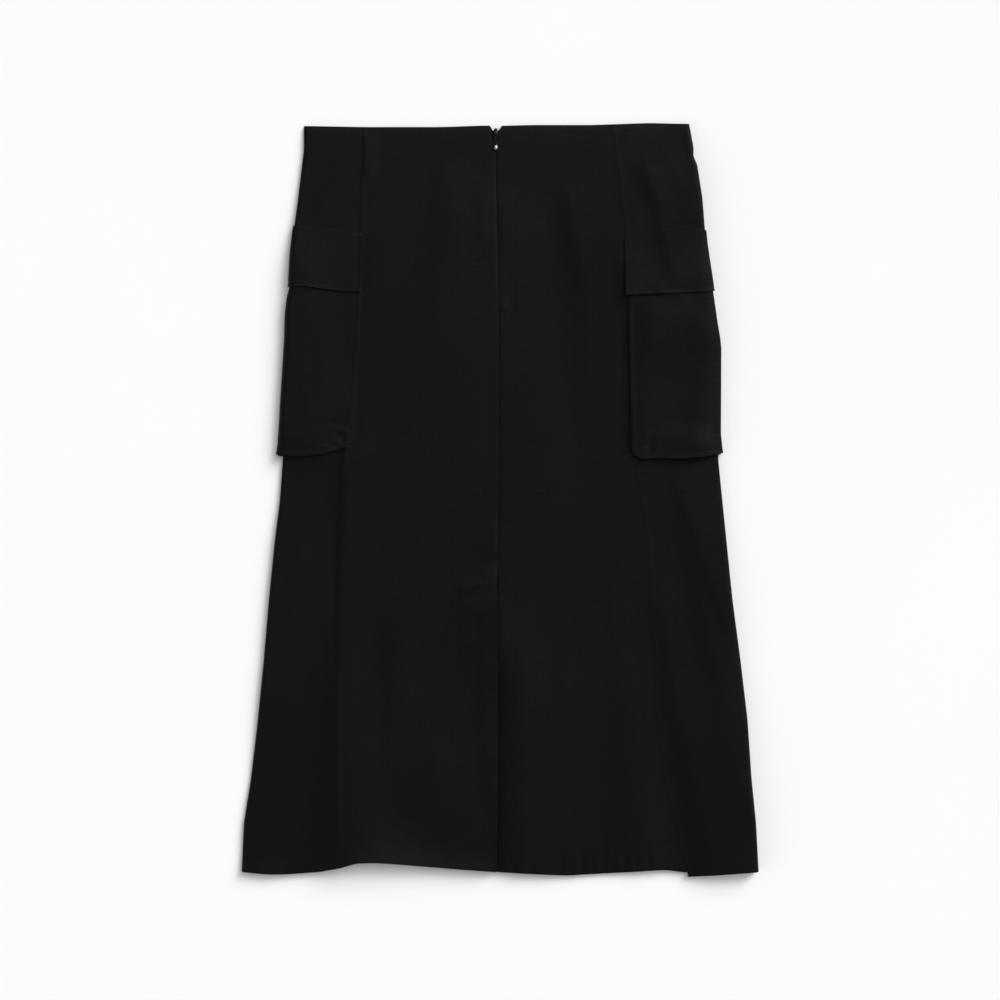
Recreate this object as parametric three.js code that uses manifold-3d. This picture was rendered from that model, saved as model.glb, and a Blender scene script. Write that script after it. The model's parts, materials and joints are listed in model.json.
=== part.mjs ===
// A knee-length cargo utility skirt in black ripstop, lying flat with its back up.
// Millimetres, +X to the wearer's right of the picture, +Y towards the waist, +Z up.
// The skirt is one flattened tube. Every panel is a stretch of that tube's surface,
// and every pocket, gusset and flap is the same surface moved out by a few millimetres.
import * as THREE from "three";
import { mergeVertices } from "three/addons/utils/BufferGeometryUtils.js";
import Module from "manifold-3d";

// Driving sizes
const LENGTH = 748; // waist to hem down the centre back
const CLOTH = 1.2; // wall of one layer of ripstop with its turnings
const HEM_WALL = 1.8; // wall where the hem is turned up
const HEM_DEPTH = 28; // turned-up hem
const GAP = 0.3; // between pieces that are sewn together
const SEAM_HALF_GAP = GAP / 2;
const LOFT = 4.6; // back panel's outer face above the front panel's outer face
const WAIST_ROLL = 1.2; // how far the back drops at the rolled waist edge
const WAIST_ROLL_REACH = 6;
const FRONT_WAIST_DIP = 30; // front waist below back waist at the centre
const FRONT_HEM_RISE = 3; // front hem short of the back hem, so that it stays hidden
const FOLD_REACH = 3.2; // the side fold's half-round, measured across
const FOLD_GIRTH = 4.5; // cloth in a quarter of the side fold

// Sections: X of the left fold, left seam, centre back, right seam and right fold at each drop
const SECTIONS = [
  { drop: 0, foldL: -196, seamL: -137, centre: -4.2, seamR: 113, foldR: 189 },
  { drop: 25, foldL: -196, seamL: -137.3, centre: -4.2, seamR: 116, foldR: 193.5 },
  { drop: 33, foldL: -197, seamL: -137.4, centre: -4.2, seamR: 117, foldR: 193 },
  { drop: 41, foldL: -198, seamL: -137.5, centre: -4.1, seamR: 118, foldR: 196.8 },
  { drop: 75, foldL: -202, seamL: -137.8, centre: -3.5, seamR: 122, foldR: 202 },
  { drop: 105, foldL: -206, seamL: -138, centre: -2.6, seamR: 125, foldR: 204.3 },
  { drop: 165, foldL: -208, seamL: -140, centre: -1.3, seamR: 128, foldR: 209.6 },
  { drop: 215, foldL: -211, seamL: -143, centre: -1, seamR: 129.5, foldR: 214 },
  { drop: 275, foldL: -214, seamL: -148.5, centre: -1, seamR: 131.5, foldR: 216 },
  { drop: 335, foldL: -217, seamL: -155, centre: -1.2, seamR: 135, foldR: 218 },
  { drop: 375, foldL: -220, seamL: -160, centre: -1.4, seamR: 142, foldR: 222 },
  { drop: 415, foldL: -225, seamL: -161.5, centre: -1.7, seamR: 148, foldR: 226 },
  { drop: 475, foldL: -231, seamL: -162, centre: -3.4, seamR: 151, foldR: 232 },
  { drop: 535, foldL: -236, seamL: -162, centre: -2.1, seamR: 155, foldR: 240 },
  { drop: 595, foldL: -242, seamL: -162, centre: -1.2, seamR: 157.5, foldR: 247 },
  { drop: 655, foldL: -249, seamL: -161, centre: -1.4, seamR: 164, foldR: 251 },
  { drop: 700, foldL: -256, seamL: -160.5, centre: -1.8, seamR: 177, foldR: 255.5 },
  { drop: 748, foldL: -258, seamL: -159, centre: -3.6, seamR: 187, foldR: 258 },
  { drop: 760, foldL: -258.5, seamL: -158.6, centre: -4, seamR: 189.5, foldR: 258.6 },
];

// Waist edge and hem edge: drop below the centre-back waist at each X
const WAIST = [
  { x: -196, drop: 1 },
  { x: -137, drop: 2 },
  { x: -59, drop: 2 },
  { x: -17, drop: 0.5 },
  { x: 2, drop: 0.8 },
  { x: 31, drop: 0 },
  { x: 91, drop: 0 },
  { x: 151, drop: -2 },
  { x: 189, drop: -1 },
];
const HEM = [
  { x: -258, drop: 746 },
  { x: -233, drop: 748.5 },
  { x: -209, drop: 748.5 },
  { x: -179, drop: 746 },
  { x: -149, drop: 739 },
  { x: -125, drop: 737 },
  { x: -89, drop: 738 },
  { x: -41, drop: 743 },
  { x: 0, drop: 746.5 },
  { x: 67, drop: 750 },
  { x: 139, drop: 746 },
  { x: 184, drop: 747.5 },
  { x: 258, drop: 745.5 },
];
const RIGHT_HEM_STEP = 4.5; // the right side panel hangs lower at its back seam, below STEP_START
const STEP_START = 380;

// Folds of the back: a ridge (height above 0) or trough from one point to another.
// rise and fall are the shares of its length over which it grows and dies away.
const FOLDS = [
  { x0: -165, d0: 450, x1: -157, d1: 800, width: 19, height: 4.6, rise: 0.7, fall: 0.05 },
  { x0: -118, d0: 690, x1: -116, d1: 800, width: 34, height: 3.6, rise: 0.6, fall: 0.05 },
  { x0: -234, d0: 640, x1: -242, d1: 800, width: 15, height: 2.2, rise: 0.6, fall: 0.05 },
  { x0: 122, d0: 520, x1: 150, d1: 800, width: 22, height: 3.2, rise: 0.7, fall: 0.05 },
  { x0: 172, d0: 500, x1: 222, d1: 800, width: 19, height: 4.4, rise: 0.7, fall: 0.05 },
  { x0: 178, d0: 350, x1: 236, d1: 640, width: 12, height: 1.3, rise: 0.3, fall: 0.4 },
  { x0: 128, d0: 20, x1: 188, d1: 120, width: 11, height: 1.1, rise: 0.4, fall: 0.4 },
  { x0: 66, d0: 30, x1: 92, d1: 330, width: 15, height: 0.9, rise: 0.3, fall: 0.5 },
  { x0: -40, d0: 30, x1: -76, d1: 330, width: 15, height: 0.9, rise: 0.3, fall: 0.5 },
  { x0: -24, d0: 440, x1: -24, d1: 800, width: 44, height: 1.4, rise: 0.1, fall: 0.05 },
];

// Centre-back vent
const VENT_TOP = 464;
const VENT_WIDTH = 40;
const VENT_DIP = 2.2; // right panel's drop to pass under the left panel
const VENT_DIP_REACH = 26;
const VENT_DIP_START = 405;
const VENT_LIFT = 0.9; // left panel's edge stands up over the underlap
const VENT_LIFT_REACH = 60;
const VENT_FACING_WALL = 2; // left panel with its facing turned under

// Zip
const ZIP_HALF_GAP = [
  { drop: 0, half: 6 },
  { drop: 2.5, half: 4.8 },
  { drop: 5, half: 3 },
  { drop: 8, half: 2.75 },
  { drop: 15, half: 2.75 },
  { drop: 24, half: SEAM_HALF_GAP },
  { drop: LENGTH, half: SEAM_HALF_GAP },
];
const ZIP_LENGTH = 182;
const ZIP_TAPE_WIDTH = 22;
const ZIP_TAPE_WALL = 0.8;
const ZIP_PIVOT_DROP = 9;
const ZIP_PIVOT_X = -4.2;
const ZIP_PIVOT_Z = 5.5;

// Cargo pockets: where each piece's inner edge lies on the back, and its top and bottom edges
const POCKET_MOUTH = 128;
const POCKET_CORNER = 14;
const FACE_UNDER = 1.8; // pocket face's outer side off the side panel, on the underside
const FACE_LOFT = [
  { drop: 104, off: 2.4 },
  { drop: 166, off: 2.6 },
  { drop: 205, off: 3.9 },
  { drop: 340, off: 3.9 },
];
const FLAP_RAMP_END = 124; // the flap has climbed over the pocket's mouth by here
const FLAP_GAP = 0.45; // between the flap and the pocket that it covers
const FLAP_LIFT = 0.9; // the flap's free edge stands off the pocket
const FLARE_REACH = 22;
const GUSSET_WALL = 1.2;
const POCKETS = [
  {
    name: "left",
    side: -1,
    flapInner: [
      { drop: 100, x: -138 },
      { drop: 172, x: -139.3 },
    ],
    faceInner: [
      { drop: 120, x: -140 },
      { drop: 170, x: -140.5 },
      { drop: 220, x: -143 },
      { drop: 262, x: -145.5 },
      { drop: 340, x: -147.5 },
    ],
    flapTop: [
      { reach: 0, drop: 103.5 },
      { reach: 25, drop: 105 },
      { reach: 90, drop: 113.5 },
    ],
    flapBottom: [
      { reach: 0, drop: 162.3 },
      { reach: 12, drop: 161.5 },
      { reach: 50, drop: 166.3 },
      { reach: 90, drop: 169.5 },
    ],
    faceBottom: [
      { reach: 0, drop: 329 },
      { reach: 26, drop: 331.5 },
      { reach: 90, drop: 326 },
    ],
    flare: [
      { drop: 120, out: 0 },
      { drop: 168, out: 0.1 },
      { drop: 180, out: 1.2 },
      { drop: 215, out: 1.9 },
      { drop: 275, out: 3.1 },
      { drop: 332, out: 3.7 },
    ],
    gussetSpread: [
      { drop: 120, out: 0.5 },
      { drop: 200, out: 1.5 },
      { drop: 340, out: 6.5 },
    ],
  },
  {
    name: "right",
    side: 1,
    flapInner: [
      { drop: 110, x: 125 },
      { drop: 172, x: 127.2 },
    ],
    faceInner: [
      { drop: 120, x: 128 },
      { drop: 205, x: 129.6 },
      { drop: 262, x: 131.2 },
      { drop: 340, x: 132.4 },
    ],
    flapTop: [
      { reach: 0, drop: 105 },
      { reach: 20, drop: 102.6 },
      { reach: 55, drop: 108 },
      { reach: 84, drop: 113.5 },
    ],
    flapBottom: [
      { reach: 0, drop: 166 },
      { reach: 30, drop: 168 },
      { reach: 60, drop: 170.3 },
      { reach: 90, drop: 170 },
    ],
    faceBottom: [
      { reach: 0, drop: 328 },
      { reach: 20, drop: 331 },
      { reach: 42, drop: 333 },
      { reach: 90, drop: 333.6 },
    ],
    flare: [
      { drop: 120, out: 0 },
      { drop: 168, out: 0.6 },
      { drop: 200, out: 1.4 },
      { drop: 225, out: 2.8 },
      { drop: 275, out: 1.6 },
      { drop: 310, out: 0.6 },
      { drop: 332, out: 1.6 },
    ],
    gussetSpread: [
      { drop: 120, out: -2.5 },
      { drop: 340, out: -2.5 },
    ],
  },
];

// What the layers of a pocket lift the front panel off the floor by, at each drop
const UNDER_STACK = [
  { drop: 0, lift: 0 },
  { drop: 80, lift: 0 },
  { drop: 104, lift: 1.9 },
  { drop: 126, lift: 3.8 },
  { drop: 172, lift: 3.8 },
  { drop: 188, lift: 2.1 },
  { drop: 336, lift: 2.1 },
  { drop: 360, lift: 0 },
  { drop: LENGTH, lift: 0 },
];
const UNDER_MARGIN = 2;
const UNDER_RAMP = 26;

// Rows of each panel, as drops, and columns as shares of its width
const PANEL_ROWS = [
  0, 2.5, 5, 8, 15, 24, 41, 60, 80, 104, 126, 150, 172, 188, 215, 245, 275, 305, 336, 360, 385,
  VENT_DIP_START, 435, VENT_TOP - 4, VENT_TOP, 500, 535, 565, 595, 625, 655, 680, 700,
  LENGTH - HEM_DEPTH - 3, LENGTH - HEM_DEPTH, 735, LENGTH,
];
const SIDE_ROWS = PANEL_ROWS.filter((drop) => ![2.5, 5, 8, 15].includes(drop));
const BACK_COLUMNS = [0, 0.12, 0.26, 0.42, 0.58, 0.72, 0.86, 1];
const VENT_COLUMNS = [0, 0.5, 1];
const FRONT_COLUMNS = [0, 0.05, 0.1, 0.2, 0.35, 0.5, 0.65, 0.8, 0.9, 0.95, 1];
const FLAT_SHARES = [0.2, 0.42, 0.64, 0.84, 1];
const ARC_SHARES = [1, 0.66, 0.33, 0, -0.33, -0.66, -1];

// Reads a table of rows at a place along one of its columns, in straight lines between rows.
function read(table, key, place, column) {
  let i = 0;
  while (i < table.length - 2 && table[i + 1][key] < place) i += 1;
  const [a, b] = [table[i], table[i + 1]];
  const share = THREE.MathUtils.clamp((place - a[key]) / (b[key] - a[key]), 0, 1);
  return a[column] + (b[column] - a[column]) * share;
}

const ease = (share) => THREE.MathUtils.smoothstep(share, 0, 1);
const section = (drop, column) => read(SECTIONS, "drop", drop, column);
const faceLoft = (drop) => read(FACE_LOFT, "drop", drop, "off");

// The pocket layers' width on the underside is the other pocket's width on the back.
function underEdge(side, drop) {
  const twin = POCKETS.find((pocket) => pocket.side === -side);
  const twinFold = section(drop, side < 0 ? "foldR" : "foldL");
  const width = Math.abs(twinFold - read(twin.faceInner, "drop", drop, "x"));
  const fold = section(drop, side < 0 ? "foldL" : "foldR");
  return fold - side * width;
}

// Height of the front panel's outer face over the floor
function underHeight(x, drop) {
  const side = x < 0 ? -1 : 1;
  const past = side * (underEdge(side, drop) - x) - UNDER_MARGIN;
  const share = 1 - THREE.MathUtils.clamp(past / UNDER_RAMP, 0, 1);
  return read(UNDER_STACK, "drop", drop, "lift") * share;
}

// Height that the folds add at a place on the back
function foldHeight(x, drop) {
  return FOLDS.reduce((sum, fold) => {
    const along = new THREE.Vector2(fold.x1 - fold.x0, fold.d1 - fold.d0);
    const from = new THREE.Vector2(x - fold.x0, drop - fold.d0);
    const share = from.dot(along) / along.lengthSq();
    const aside = from.cross(along) / along.length();
    const strength = ease(share / fold.rise) * ease((1 - share) / fold.fall);
    return sum + fold.height * strength * Math.exp(-((aside / fold.width) ** 2));
  }, 0);
}

// Height of the back's outer face over the floor
function backHeight(x, drop) {
  const roll = WAIST_ROLL * Math.exp(-drop / WAIST_ROLL_REACH);
  return underHeight(x, drop) + LOFT - roll + foldHeight(x, drop);
}

// Over the vent the left panel stands up, and the right panel dips to go under it.
const ventShare = (drop) => ease((drop - VENT_DIP_START) / (VENT_TOP - 10 - VENT_DIP_START));
function leftBackHeight(x, drop) {
  const inside = ease(1 - (section(drop, "centre") - x) / VENT_LIFT_REACH);
  return backHeight(x, drop) + VENT_LIFT * ventShare(drop) * inside;
}
function rightBackHeight(x, drop) {
  const inside = ease(1 - (x - section(drop, "centre")) / VENT_DIP_REACH);
  return backHeight(x, drop) - VENT_DIP * ventShare(drop) * inside;
}

// Y of a place: the drop is stretched between the waist edge and the hem edge at its X.
function placeY(x, drop, waistExtra = 0, hemExtra = 0) {
  const top = read(WAIST, "x", x, "drop") + waistExtra;
  const bottom = read(HEM, "x", x, "drop") + hemExtra;
  return LENGTH / 2 - (top + ((bottom - top) * drop) / LENGTH);
}
function frontY(x, drop) {
  const half = section(drop, x < 0 ? "foldL" : "foldR");
  const middle = (1 - Math.min(1, (x / half) ** 2)) ** 2;
  return placeY(x, drop, FRONT_WAIST_DIP * middle, -FRONT_HEM_RISE * middle);
}

const leftBack = (x, drop) => new THREE.Vector3(x, placeY(x, drop), leftBackHeight(x, drop));
const rightBack = (x, drop) => new THREE.Vector3(x, placeY(x, drop), rightBackHeight(x, drop));
const front = (x, drop) => new THREE.Vector3(x, frontY(x, drop), underHeight(x, drop));

// The side of the tube. reach is the cloth's distance from the middle of the side fold,
// above 0 on the back and below 0 on the underside.
function around(side, reach, level) {
  const drop = side > 0 ? level + hemStep(reach, level) : level;
  const fold = section(drop, side < 0 ? "foldL" : "foldR");
  const flat = Math.max(0, Math.abs(reach) - FOLD_GIRTH);
  const turn = (THREE.MathUtils.clamp(reach / FOLD_GIRTH, -1, 1) * Math.PI) / 2;
  const x = fold - side * (FOLD_REACH * (1 - Math.cos(turn)) + flat);
  const at = flat > 0 ? x : fold - side * FOLD_REACH;
  const [top, bottom] = [backHeight(at, drop), underHeight(at, drop)];
  const z = (top + bottom) / 2 + ((top - bottom) / 2) * Math.sin(turn);
  return new THREE.Vector3(x, reach < 0 ? frontY(x, drop) : placeY(x, drop), z);
}
// How much lower the right side panel hangs, growing towards its back seam and its hem
function hemStep(reach, drop) {
  const whole = reachOf(1, section(drop, "seamR"), drop);
  const across = THREE.MathUtils.clamp(reach / whole, 0, 1);
  return RIGHT_HEM_STEP * across * ease((drop - STEP_START) / (LENGTH - STEP_START));
}
const reachOf = (side, x, drop) =>
  side * (section(drop, side < 0 ? "foldL" : "foldR") - x) - FOLD_REACH + FOLD_GIRTH;

// A point of a surface moved along its outward normal. facing is 1 or -1.
function movedOut(surface, across, drop, facing, distance) {
  const STEP = 0.25;
  const du = surface(across + STEP, drop).sub(surface(across - STEP, drop));
  const dv = surface(across, drop + STEP).sub(surface(across, drop - STEP));
  const normal = du.cross(dv).normalize().multiplyScalar(facing * distance);
  return surface(across, drop).add(normal);
}

// A closed sheet of cloth from its outer and inner points. keep leaves cells out.
function sheet(rows, columns, outer, inner, keep = () => true) {
  const positions = [];
  const index = (layer, row, column) => (layer * rows + row) * columns + column;
  [outer, inner].forEach((point) => {
    for (let row = 0; row < rows; row += 1)
      for (let column = 0; column < columns; column += 1)
        positions.push(...point(row, column).toArray());
  });
  const faces = [];
  const quad = (a, b, c, d) => faces.push(a, b, c, a, c, d);
  const kept = (row, column) =>
    row >= 0 && column >= 0 && row < rows - 1 && column < columns - 1 && keep(row, column);
  for (let r = 0; r < rows - 1; r += 1)
    for (let c = 0; c < columns - 1; c += 1) {
      if (!kept(r, c)) continue;
      quad(index(0, r, c), index(0, r + 1, c), index(0, r + 1, c + 1), index(0, r, c + 1));
      quad(index(1, r, c), index(1, r, c + 1), index(1, r + 1, c + 1), index(1, r + 1, c));
      const walls = [
        [kept(r - 1, c), [r, c + 1], [r, c]],
        [kept(r + 1, c), [r + 1, c], [r + 1, c + 1]],
        [kept(r, c - 1), [r, c], [r + 1, c]],
        [kept(r, c + 1), [r + 1, c + 1], [r, c + 1]],
      ];
      walls.forEach(([joined, from, to]) => {
        if (joined) return;
        quad(index(0, ...to), index(0, ...from), index(1, ...from), index(1, ...to));
      });
    }
  return closed(positions, faces);
}

// Makes a geometry, turning its faces round if they point inwards.
function closed(positions, faces) {
  const corner = (i) => new THREE.Vector3().fromArray(positions, faces[i] * 3);
  let volume = 0;
  for (let i = 0; i < faces.length; i += 3)
    volume += corner(i).dot(corner(i + 1).cross(corner(i + 2)));
  if (volume < 0)
    for (let i = 0; i < faces.length; i += 3)
      [faces[i + 1], faces[i + 2]] = [faces[i + 2], faces[i + 1]];
  const geometry = new THREE.BufferGeometry();
  geometry.setAttribute("position", new THREE.Float32BufferAttribute(positions, 3));
  geometry.setIndex(faces);
  return geometry;
}

const wallAt = (drop) => (drop > LENGTH - HEM_DEPTH - 1 ? HEM_WALL : CLOTH);
const lerp = THREE.MathUtils.lerp;

// Back panels run from the centre back to the side-back seam.
function backPanel(side) {
  const surface = side < 0 ? leftBack : rightBack;
  const edgeX = (drop, share) => {
    const seam = section(drop, side < 0 ? "seamL" : "seamR") - side * SEAM_HALF_GAP;
    const middle =
      section(drop, "centre") + side * read(ZIP_HALF_GAP, "drop", drop, "half");
    return lerp(middle, seam, share);
  };
  // The left panel keeps a column at its facing's edge; the right one has the underlap's columns.
  const extra = side > 0 ? VENT_COLUMNS.slice(0, -1).map((share) => share - 1) : [];
  const shares = [...extra, ...BACK_COLUMNS];
  const xAt = (row, column) => {
    const [drop, share] = [PANEL_ROWS[row], shares[column]];
    const facingEdge = section(drop, "centre") - VENT_WIDTH;
    if (side < 0 && column === 2) return facingEdge;
    if (side < 0 && column === 3) return facingEdge - 3;
    return share < 0 ? section(drop, "centre") + VENT_WIDTH * share : edgeX(drop, share);
  };
  const faced = (row, column) => side < 0 && column < 3 && PANEL_ROWS[row] >= VENT_TOP;
  const outer = (row, column) => surface(xAt(row, column), PANEL_ROWS[row]);
  const inner = (row, column) => {
    const drop = PANEL_ROWS[row];
    const underlap = shares[column] <= 0 && side > 0;
    const wall = faced(row, column) ? VENT_FACING_WALL : underlap ? CLOTH : wallAt(drop);
    return movedOut(surface, xAt(row, column), drop, 1, wall);
  };
  const keep = (row, column) => shares[column] >= 0 || PANEL_ROWS[row] >= VENT_TOP;
  return sheet(PANEL_ROWS.length, shares.length, outer, inner, keep);
}

// Where the stations of a piece that wraps the side fold lie, from its back edge to its front edge
function wrapReaches(backReach, frontReach) {
  const flat = (reach) => (share) => lerp(FOLD_GIRTH, reach, share);
  return [
    ...[...FLAT_SHARES].reverse().map(flat(backReach)),
    ...ARC_SHARES.map((share) => share * FOLD_GIRTH),
    ...FLAT_SHARES.map(flat(frontReach)).map((reach) => -reach),
  ];
}
const wrapCount = FLAT_SHARES.length * 2 + ARC_SHARES.length;

function sidePanel(side) {
  const surface = (reach, drop) => around(side, reach, drop);
  const [own, twin] = side < 0 ? ["seamL", "seamR"] : ["seamR", "seamL"];
  const [fold, twinFold] = side < 0 ? ["foldL", "foldR"] : ["foldR", "foldL"];
  const reaches = SIDE_ROWS.map((drop) => {
    const low = side > 0 ? drop + RIGHT_HEM_STEP * ease((drop - STEP_START) / (LENGTH - STEP_START)) : drop;
    const back = reachOf(side, section(low, own), low) - SEAM_HALF_GAP;
    const width = Math.abs(section(drop, twinFold) - section(drop, twin));
    const frontSeam = section(drop, fold) - side * width;
    return wrapReaches(back, reachOf(side, frontSeam, drop) - SEAM_HALF_GAP);
  });
  const outer = (row, column) => surface(reaches[row][column], SIDE_ROWS[row]);
  const inner = (row, column) =>
    movedOut(surface, reaches[row][column], SIDE_ROWS[row], -side, wallAt(SIDE_ROWS[row]));
  return sheet(SIDE_ROWS.length, wrapCount, outer, inner);
}

function frontPanel() {
  const seamX = (drop, side) => {
    const [fold, twinFold, twin] =
      side < 0 ? ["foldL", "foldR", "seamR"] : ["foldR", "foldL", "seamL"];
    const width = Math.abs(section(drop, twinFold) - section(drop, twin));
    return section(drop, fold) - side * (width + SEAM_HALF_GAP);
  };
  const xAt = (row, column) =>
    lerp(seamX(SIDE_ROWS[row], -1), seamX(SIDE_ROWS[row], 1), FRONT_COLUMNS[column]);
  const outer = (row, column) => front(xAt(row, column), SIDE_ROWS[row]);
  const inner = (row, column) => {
    const point = outer(row, column);
    point.z += wallAt(SIDE_ROWS[row]);
    return point;
  };
  return sheet(SIDE_ROWS.length, FRONT_COLUMNS.length, outer, inner);
}

// Outer side of a pocket's face: off the side panel by its loft, and flared out at the fold
const towardsBack = (reach) => ease((reach + 6) / 12);
function faceOuter(pocket, reach, drop, beyond = 0) {
  const off = lerp(FACE_UNDER, faceLoft(drop), towardsBack(reach)) + beyond;
  const surface = (a, d) => around(pocket.side, a, d);
  const point = movedOut(surface, reach, drop, pocket.side, off);
  const hump = Math.max(0, 1 - (reach / FLARE_REACH) ** 2) ** 2;
  point.x += pocket.side * read(pocket.flare, "drop", drop, "out") * hump;
  return point;
}

// A pocket's two inner edges at a drop, as reaches. The corner rounds them near the bottom.
function pocketReaches(pocket, drop, bottom) {
  const into = Math.max(0, drop - (bottom - POCKET_CORNER));
  const cut = POCKET_CORNER - Math.sqrt(Math.max(0, POCKET_CORNER ** 2 - into ** 2));
  const back = reachOf(pocket.side, read(pocket.faceInner, "drop", drop, "x"), drop);
  const under = reachOf(pocket.side, underEdge(pocket.side, drop), drop);
  return [back - cut, under - cut];
}
const CORNER_SHARES = [0, 0.4, 0.7, 0.9, 1];
const FACE_ROWS = [POCKET_MOUTH, 150, 172, 188, 215, 245, 275, 300];

function pocketFace(pocket) {
  const rows = [...FACE_ROWS, ...CORNER_SHARES];
  const dropAt = (row, reach) => {
    const bottom = read(pocket.faceBottom, "reach", Math.abs(reach), "drop");
    if (row < FACE_ROWS.length) return rows[row];
    return bottom - POCKET_CORNER * (1 - rows[row]);
  };
  const place = (row, column) => {
    const guess = row < FACE_ROWS.length ? rows[row] : dropAt(row, FLARE_REACH * 2);
    const bottom = read(pocket.faceBottom, "reach", FLARE_REACH * 2, "drop");
    const reach = wrapReaches(...pocketReaches(pocket, guess, bottom))[column];
    return [reach, dropAt(row, reach)];
  };
  const outer = (row, column) => faceOuter(pocket, ...place(row, column));
  const inner = (row, column) => faceOuter(pocket, ...place(row, column), -CLOTH);
  return sheet(rows.length, wrapCount, outer, inner);
}

const FLAP_ROWS = 6;
function pocketFlap(pocket) {
  const place = (row, column) => {
    const share = row / (FLAP_ROWS - 1);
    const guess = lerp(108, 168, share);
    const back = reachOf(pocket.side, read(pocket.flapInner, "drop", guess, "x"), guess);
    const under = reachOf(pocket.side, underEdge(pocket.side, guess), guess) + 2;
    const reach = wrapReaches(back, under)[column];
    const top = read(pocket.flapTop, "reach", Math.abs(reach), "drop");
    const bottom = read(pocket.flapBottom, "reach", Math.abs(reach), "drop");
    const ramp = FLAP_RAMP_END;
    const drop = row < 2 ? lerp(top, ramp, row) : lerp(ramp, bottom, (row - 1) / (FLAP_ROWS - 2));
    return [reach, drop, row < 1 ? 0 : 1, Math.max(0, share - 0.3) / 0.7];
  };
  const pointAt = (row, column, layer) => {
    const [reach, drop, climbed, free] = place(row, column);
    const faceOff = lerp(FACE_UNDER, faceLoft(drop), towardsBack(reach));
    const low = climbed ? FLAP_GAP : GAP - faceOff;
    const lift = FLAP_LIFT * free ** 2 * towardsBack(reach - 14);
    return faceOuter(pocket, reach, drop, low + lift + layer);
  };
  const outer = (row, column) => pointAt(row, column, CLOTH);
  const inner = (row, column) => pointAt(row, column, 0);
  return sheet(FLAP_ROWS, wrapCount, outer, inner);
}

// The gusset is a ribbon from the side panel up to the pocket face's edge, along its outline.
function pocketGusset(pocket) {
  const { side } = pocket;
  const bottomAt = (reach) => read(pocket.faceBottom, "reach", Math.abs(reach), "drop");
  const stations = [];
  const downTo = bottomAt(70) - POCKET_CORNER;
  [POCKET_MOUTH + 2, 150, 172, 188, 215, 245, 275, downTo].forEach((drop) => {
    const back = reachOf(side, read(pocket.faceInner, "drop", drop, "x"), drop);
    stations.push({ reach: back, drop, outward: [1, 0] });
  });
  const last = stations[stations.length - 1].reach;
  for (let step = 1; step <= 5; step += 1) {
    const turn = (step / 5) * (Math.PI / 2);
    const reach = last - POCKET_CORNER * (1 - Math.cos(turn));
    const down = POCKET_CORNER * (1 - Math.sin(turn));
    stations.push({ reach, drop: bottomAt(reach) - down, outward: [Math.cos(turn), Math.sin(turn)] });
  }
  const run = stations[stations.length - 1].reach;
  [0.75, 0.5, 0.3, 0.15].map((share) => lerp(FOLD_GIRTH, run, share)).forEach((reach) => {
    stations.push({ reach, drop: bottomAt(reach), outward: [0, 1] });
  });
  [1, 0.66, 0.33, 0].map((share) => share * FOLD_GIRTH).forEach((reach) => {
    stations.push({ reach, drop: bottomAt(reach), outward: [0, 1] });
  });
  // In the ribbon's section the first two corners are at its foot and the last two at its head.
  const BOTTOM_SPREAD = 1.2;
  const corner = (station, column, head) => {
    const spread = read(pocket.gussetSpread, "drop", station.drop, "out");
    const [aside, down] = station.outward;
    const foot = aside * spread + (down > 0.5 ? down * Math.min(spread, BOTTOM_SPREAD) : 0);
    const shift = (head ? -0.2 : foot) - column * (GUSSET_WALL + 0.4);
    const reach = station.reach + aside * shift;
    const drop = station.drop + down * shift;
    const faceInner = lerp(FACE_UNDER, faceLoft(drop), towardsBack(reach)) - CLOTH;
    const off = head ? faceInner - GAP : GAP + 0.1;
    return faceOuter(pocket, reach, drop, off - faceInner - CLOTH);
  };
  const outer = (row, column) => corner(stations[row], column ? 0 : 0, column === 1);
  const inner = (row, column) => corner(stations[row], 1, column === 1);
  return sheet(stations.length, 2, outer, inner);
}

// Zip tape under the centre back
function zipTape() {
  const rows = [5, 8, 15, 24, 41, 60, 80, 104, 126, 150, 172, ZIP_LENGTH];
  const wide = ZIP_TAPE_WIDTH / 2;
  const across = [-wide, -1.5, 1.5, wide];
  const topOf = (row, column) => {
    const x = section(rows[row], "centre") + across[column];
    const point = leftBack(x, rows[row]);
    point.z -= CLOTH + GAP + 0.1;
    return point;
  };
  const bottomOf = (row, column) => {
    const point = topOf(row, column);
    point.z -= ZIP_TAPE_WALL;
    return point;
  };
  return sheet(rows.length, across.length, topOf, bottomOf);
}

const wasm = await Module();
wasm.setup();

function toSolid(geometry) {
  const bare = geometry.clone();
  bare.deleteAttribute("normal");
  bare.deleteAttribute("uv");
  const merged = mergeVertices(bare, 1e-4);
  return new wasm.Manifold(
    new wasm.Mesh({
      numProp: 3,
      vertProperties: new Float32Array(merged.attributes.position.array),
      triVerts: new Uint32Array(merged.index.array),
    }),
  );
}
function toGeometry(solid) {
  const mesh = solid.getMesh();
  const geometry = new THREE.BufferGeometry();
  geometry.setAttribute("position", new THREE.BufferAttribute(mesh.vertProperties, 3));
  geometry.setIndex(new THREE.BufferAttribute(mesh.triVerts, 1));
  return geometry;
}

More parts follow.
